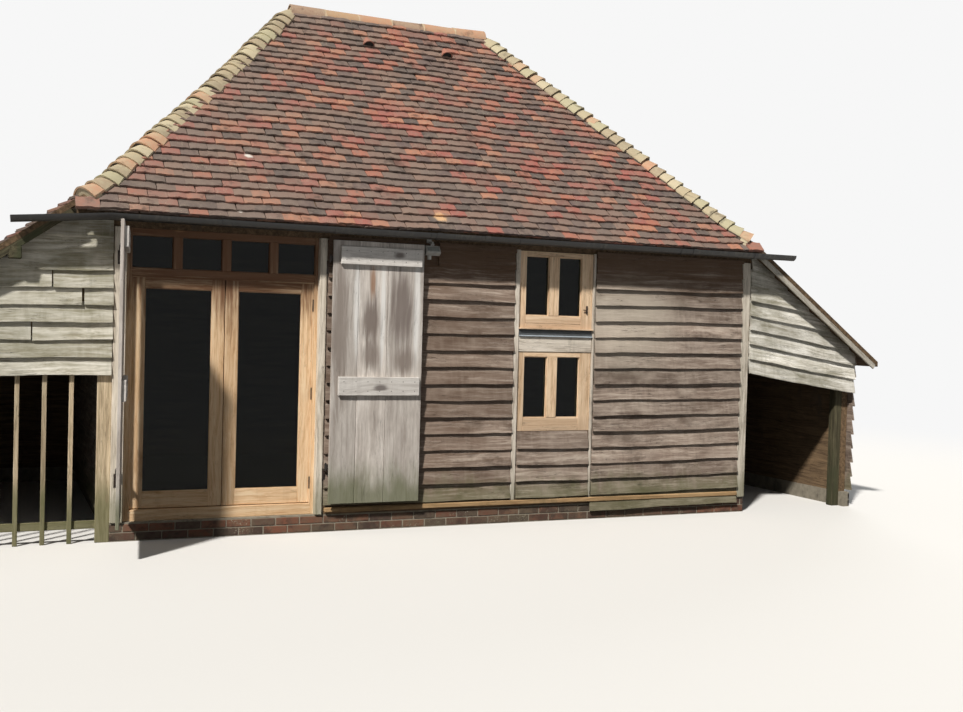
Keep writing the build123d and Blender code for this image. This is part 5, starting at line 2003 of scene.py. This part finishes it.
@dataclass
class Stores:
    """Slatted screen, posts, purlin end and barge boards of the two lean-to stores."""

    layout: Layout
    slat: tuple[float, float] = (0.038, 0.025)
    pitch: float = 0.215
    first: float = 0.327
    top: float = 1.59
    rail: float = 0.07
    low_rail: float = 0.12
    end_board: float = 0.119
    post: float = 0.1
    inset: float = 0.08
    purlin_x: float = 3.98
    barge: tuple[float, float] = (0.095, 0.02)

    def screen(self) -> list[Timber]:
        """Slats, rails and the wide board beside the doorway post."""
        front = -self.layout.wall_y
        back = front + self.slat[1]
        half = self.slat[0] / 2.0
        right, left = self.layout.wall_left, -self.layout.lean_wall + self.inset
        rails = [Timber((left, back, low), (right, back + self.slat[1], low + self.rail), Axis.X)
                 for low in (self.top - self.rail, self.low_rail)]
        board = Timber((right - self.end_board, front, 0.0), (right, back, self.top), Axis.Z)
        middle = np.arange(right - self.first, left + self.slat[0], -self.pitch)
        return [*rails, board, *(Timber((x - half, front, 0.0), (x + half, back, self.top), Axis.Z)
                                 for x in middle)]

    def timbers(self) -> list[Timber]:
        """Corner posts and the purlin end that shows under the left eaves."""
        layout = self.layout
        reach, front = layout.lean_wall, -layout.wall_y
        y0, y1 = front + self.inset, front + self.inset + self.post
        top = float(layout.lean_under(np.array(reach - self.inset)))
        posts = [Timber((low, y0, 0.0), (low + self.post, y1, top), Axis.Z)
                 for low in (reach - self.inset - self.post, -reach + self.inset)]
        high = float(layout.lean_under(np.array(self.purlin_x)))
        purlin = Timber((-self.purlin_x, -layout.verge_y, high - self.post),
                        (-self.purlin_x + self.post, front, high), Axis.Y)
        return [*posts, purlin]

    def barges(self, side: int) -> Heap:
        """Barge boards along both verges of one lean-to roof."""
        layout = self.layout
        cos, sin = math.cos(layout.lean_pitch), math.sin(layout.lean_pitch)
        heap, dice = Heap(), Dice(612 + side)
        length = (layout.reach - layout.eaves_x - 0.07) / cos
        for face in (-1.0, 1.0):
            start = np.array([[side * (layout.eaves_x + 0.012), face * (layout.verge_y - 0.022),
                               layout.lean_start - 0.132]])
            axes = np.array([[(side * cos, 0.0, -sin), (side * sin, 0.0, cos), (0.0, face, 0.0)]])
            heap.beams(start, axes, np.array([[length, *self.barge]]), dice, bow=0.002,
                       stations=6)
        return heap

    def build(self) -> None:
        """Make the screen, the timbers and the barge boards."""
        joinery("slat_screen", "pale", self.screen(), seed=610, bow=0.0015,
                nodes=["store_slats"])
        joinery("store_timbers", "green_brown", self.timbers(), seed=611,
                chamfer=0.006, bow=0.002, nodes=["leanto_timbers"])
        for side, name, finish in ((-1, "left", "green_brown"), (1, "right", "light_barge")):
            dress(self.barges(side).mesh("barge_boards_" + name, smooth=0.4), finish)


@dataclass
class GutterUnions:
    """Union clips on the half-round gutter, where its lengths meet."""

    y: float = -2.352
    z: float = 2.823
    radii: tuple[float, float] = (0.0615, 0.0565)
    places: tuple[float, ...] = (-2.25, -0.257, 0.235, 2.6)
    width: float = 0.055

    def build(self) -> None:
        """Make the clips as bands round the gutter.

        Formula: y = r cos a and z = -r sin a for angles a from 0 to pi, between two radii.
        """
        turn = over(0.0, math.pi, 15)
        x = (np.array(self.places)[:, None, None] + down(-0.5, 0.5) * self.width + 0.0 * turn)
        heap = Heap()
        heap.slabs(*(np.stack([x, self.y + r * np.cos(turn) + 0.0 * x,
                               self.z - r * np.sin(turn) + 0.0 * x], -1) for r in self.radii),
                   tone=0.5)
        dress(heap.mesh("gutter_unions", smooth=0.6), "plastic")


@dataclass
class Lamp:
    """Glass face and cooling fins of the outside lamp, which ride with its head."""

    centre: Point = (-0.2425, -2.175, 2.6695)
    size: Point = (0.145, 0.055, 0.085)
    tilt: float = math.radians(-35.0)
    margin: tuple[float, float] = (0.004, 0.008)
    edge: float = 0.009
    glass_inset: float = 0.008
    fins: int = 6
    fin_pitch: float = 0.02
    fin_width: float = 0.003

    def bars(self, heap: Heap, boxes: Sequence[tuple[Point, Point]], chamfer: float) -> None:
        """Add bars given by their corners in the head's own tilted frame."""
        cos, sin = math.cos(self.tilt), math.sin(self.tilt)
        axes = np.array([RIGHT, (0.0, cos, sin), (0.0, -sin, cos)])
        low, high = (np.array(corners) for corners in zip(*boxes))
        heap.beams(np.array(self.centre) + low @ axes, np.repeat(axes[None], len(boxes), 0),
                   high - low, Dice(620), chamfer)

    def build(self) -> None:
        """Make the rim and the fins, which are one piece, and the glass."""
        x, y, z = (size / 2.0 for size in self.size)
        x, z, edge = x - self.margin[0], z - self.margin[1], self.edge
        near, far = -y - 0.004, -y + 0.002
        rim, glass = Heap(), Heap()
        self.bars(rim, [((-x, near, -z), (x, far, -z + edge)),
                        ((-x, near, z - edge), (x, far, z)),
                        ((-x, near, -z + edge), (-x + edge, far, z - edge)),
                        ((x - edge, near, -z + edge), (x, far, z - edge))], 0.0015)
        self.bars(rim, [((low, y - 0.002, -0.03), (low + self.fin_width, y + 0.008, 0.03))
                        for low in -0.05 + self.fin_pitch * np.arange(self.fins)], 0.0005)
        inset = self.glass_inset
        self.bars(glass, [((-x + inset, -y - 0.002, -z + inset),
                           (x - inset, -y + 0.001, z - inset))], 0.0006)
        dress(rim.mesh("lamp_rim", smooth=0.5), "lamp", Body.LAMP)
        dress(glass.mesh("lamp_face", smooth=0.5), "lens", Body.LAMP)


CAD_FINISHES = {
    "dark_wood": ("roof_front", "roof_back", "roof_hip_left", "roof_hip_right",
                  "leanto_roof_left", "leanto_roof_right", "roof_frame", "wall_plates"),
    "fascia": ("fascia_boards",),
    "mortar": ("plinth",),
    "slab": ("floor",),
    "lining": ("front_wall_by_door", "front_wall_at_windows", "front_wall_right", "back_wall",
               "leanto_front_left", "leanto_front_right"),
    "side_lining": ("end_walls", "leanto_side_walls"),
    "glass": ("transom_glass", "glazed_glass_left", "glazed_glass_right", "window_glass"),
    "steel": ("glazed_leaf_pins",),
    "iron": ("outer_straps_left", "outer_straps_right", "outer_pintles"),
    "lead": ("window_flashing",),
    "plastic": ("gutter_front", "gutter_back", "gutter_brackets"),
    "lamp": ("lamp_bracket", "lamp_head")}


def dress_cad() -> None:
    """Put the finishes on the CAD nodes that stay in view."""
    for finish, nodes in CAD_FINISHES.items():
        for name in nodes:
            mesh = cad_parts[name].data
            mesh.materials.clear()
            mesh.materials.append(PALETTE.material(finish))


@dataclass
class Studio:
    """Camera at the photograph's place, a pale floor and soft light."""

    eye: Point = (-4.1357, -12.2823, 1.9326)
    yaw: float = 23.696
    pitch: float = -1.36
    roll: float = 1.547
    focal: float = 1129.1
    width: float = 963.0
    sensor: float = 36.0
    sun_from: Point = (-0.513, -0.4955, 0.7009)
    sun_strength: float = 4.4
    sun_spread: float = 3.5
    sun_colour: Point = (1.0, 0.965, 0.91)
    fill_from: Point = (0.55, 0.75, 0.36)
    fill_strength: float = 0.9
    fill_spread: float = 30.0
    fill_colour: Point = (0.95, 0.98, 1.0)
    far: float = 20.0
    sky: float = 0.135
    sky_colour: tuple = (0.93, 0.97, 1.0, 1.0)
    floor_reach: float = 60.0
    floor_lit: tuple = (0.05, 0.048, 0.045, 1.0)
    floor_seen: tuple = (0.80, 0.79, 0.77, 1.0)
    fade: tuple[float, float] = (7.0, 17.0)
    white: tuple = (0.93, 0.93, 0.93, 1.0)

    def camera(self) -> None:
        """Set up the camera from its bearing, pitch and roll."""
        yaw, pitch, roll = (math.radians(angle) for angle in (self.yaw, self.pitch, self.roll))
        ahead = np.array([math.sin(yaw) * math.cos(pitch), math.cos(yaw) * math.cos(pitch),
                          math.sin(pitch)])
        right = np.array([math.cos(yaw), -math.sin(yaw), 0.0])
        up = np.cross(right, ahead)
        data = bpy.data.cameras.new("camera")
        data.sensor_width = self.sensor
        data.sensor_fit = "HORIZONTAL"
        data.lens = self.focal * self.sensor / self.width
        bpy.context.scene.camera = placed("camera", data, (
            right * math.cos(roll) + up * math.sin(roll),
            -right * math.sin(roll) + up * math.cos(roll), -ahead, self.eye))

    @staticmethod
    def looked_at(graph: Graph) -> Socket:
        """One for rays from the camera, off gloss and through glass, and nought for the rest."""
        path = graph.node("ShaderNodeLightPath").outputs
        gloss = graph.plus(path["Is Glossy Ray"], path["Is Transmission Ray"])
        return graph.plus(path["Is Camera Ray"], gloss, clamp=True)

    def floor(self) -> None:
        """Lay a pale floor that fades into the backdrop away from the building."""
        mesh = bpy.data.meshes.new("studio_floor")
        reach = self.floor_reach
        mesh.from_pydata([(-reach, -reach, 0.0), (reach, -reach, 0.0), (reach, reach, 0.0),
                          (-reach, reach, 0.0)], [], [(0, 1, 2, 3)])
        material = bpy.data.materials.new("studio floor")
        graph = Graph.emptied(material)
        fade = graph.band(graph.length(graph.place()), *self.fade)
        pale = graph.mix(self.looked_at(graph), self.floor_lit, self.floor_seen)
        shader = graph.node("ShaderNodeBsdfPrincipled", {"Base Color": pale, "Roughness": 0.95})
        glow = graph.node("ShaderNodeEmission", {0: self.white, 1: 1.0})
        mixed = graph.node("ShaderNodeMixShader", {0: fade, 1: shader.outputs[0],
                                                   2: glow.outputs[0]})
        graph.node("ShaderNodeOutputMaterial", {0: mixed.outputs[0]})
        mesh.materials.append(material)
        placed("studio_floor", mesh)

    def lamp(self, name: str, source: Point, strength: float, spread: float,
             colour: Point) -> None:
        """Add a far lamp.

        Args:
            name: the lamp's name.
            source: direction that its light comes from.
            strength: how strong it is.
            spread: its width in degrees, which softens the shadows.
            colour: its colour.
        """
        data = bpy.data.lights.new(name, "SUN")
        data.energy = strength
        data.angle = math.radians(spread)
        data.color = colour
        towards = np.array(source) / np.linalg.norm(source)
        side = np.cross(UP, towards)
        side /= np.linalg.norm(side)
        placed(name, data, (side, np.cross(towards, side), towards, towards * self.far))

    def light(self) -> None:
        """A sun from the upper left, a weak fill from behind and an even sky."""
        self.lamp("sun", self.sun_from, self.sun_strength, self.sun_spread, self.sun_colour)
        self.lamp("fill", self.fill_from, self.fill_strength, self.fill_spread,
                  self.fill_colour)
        world = bpy.data.worlds.new("studio")
        bpy.context.scene.world = world
        graph = Graph.emptied(world)
        lit = graph.node("ShaderNodeBackground", {0: self.sky_colour, 1: self.sky})
        seen = graph.node("ShaderNodeBackground", {0: self.white, 1: 1.0})
        mixed = graph.node("ShaderNodeMixShader", {0: self.looked_at(graph),
                                                   1: lit.outputs[0], 2: seen.outputs[0]})
        graph.node("ShaderNodeOutputWorld", {0: mixed.outputs[0]})
        bpy.context.scene.view_settings.view_transform = "Standard"

    def build(self) -> None:
        """Set up the whole studio."""
        self.camera()
        self.floor()
        self.light()


def main() -> None:
    """Build and dress the potting shed, part by part."""
    dress_cad()
    for part in (TiledRoof(LAYOUT), Hips(LAYOUT), Ridge(LAYOUT), Weatherboarding(LAYOUT),
                 Brickwork(LAYOUT), Doorway(LAYOUT),
                 GlazedLeaf(-1, -2.985, Body.GLAZED_LEFT),
                 GlazedLeaf(1, -1.345, Body.GLAZED_RIGHT),
                 OuterLeaf(-1, -3.033, -97.0, Body.OUTER_LEFT),
                 OuterLeaf(1, -1.297, 180.0, Body.OUTER_RIGHT),
                 Windows(LAYOUT), Stores(LAYOUT), GutterUnions(), Lamp(), Studio()):
        part.build()


if __name__ == "__main__":
    main()
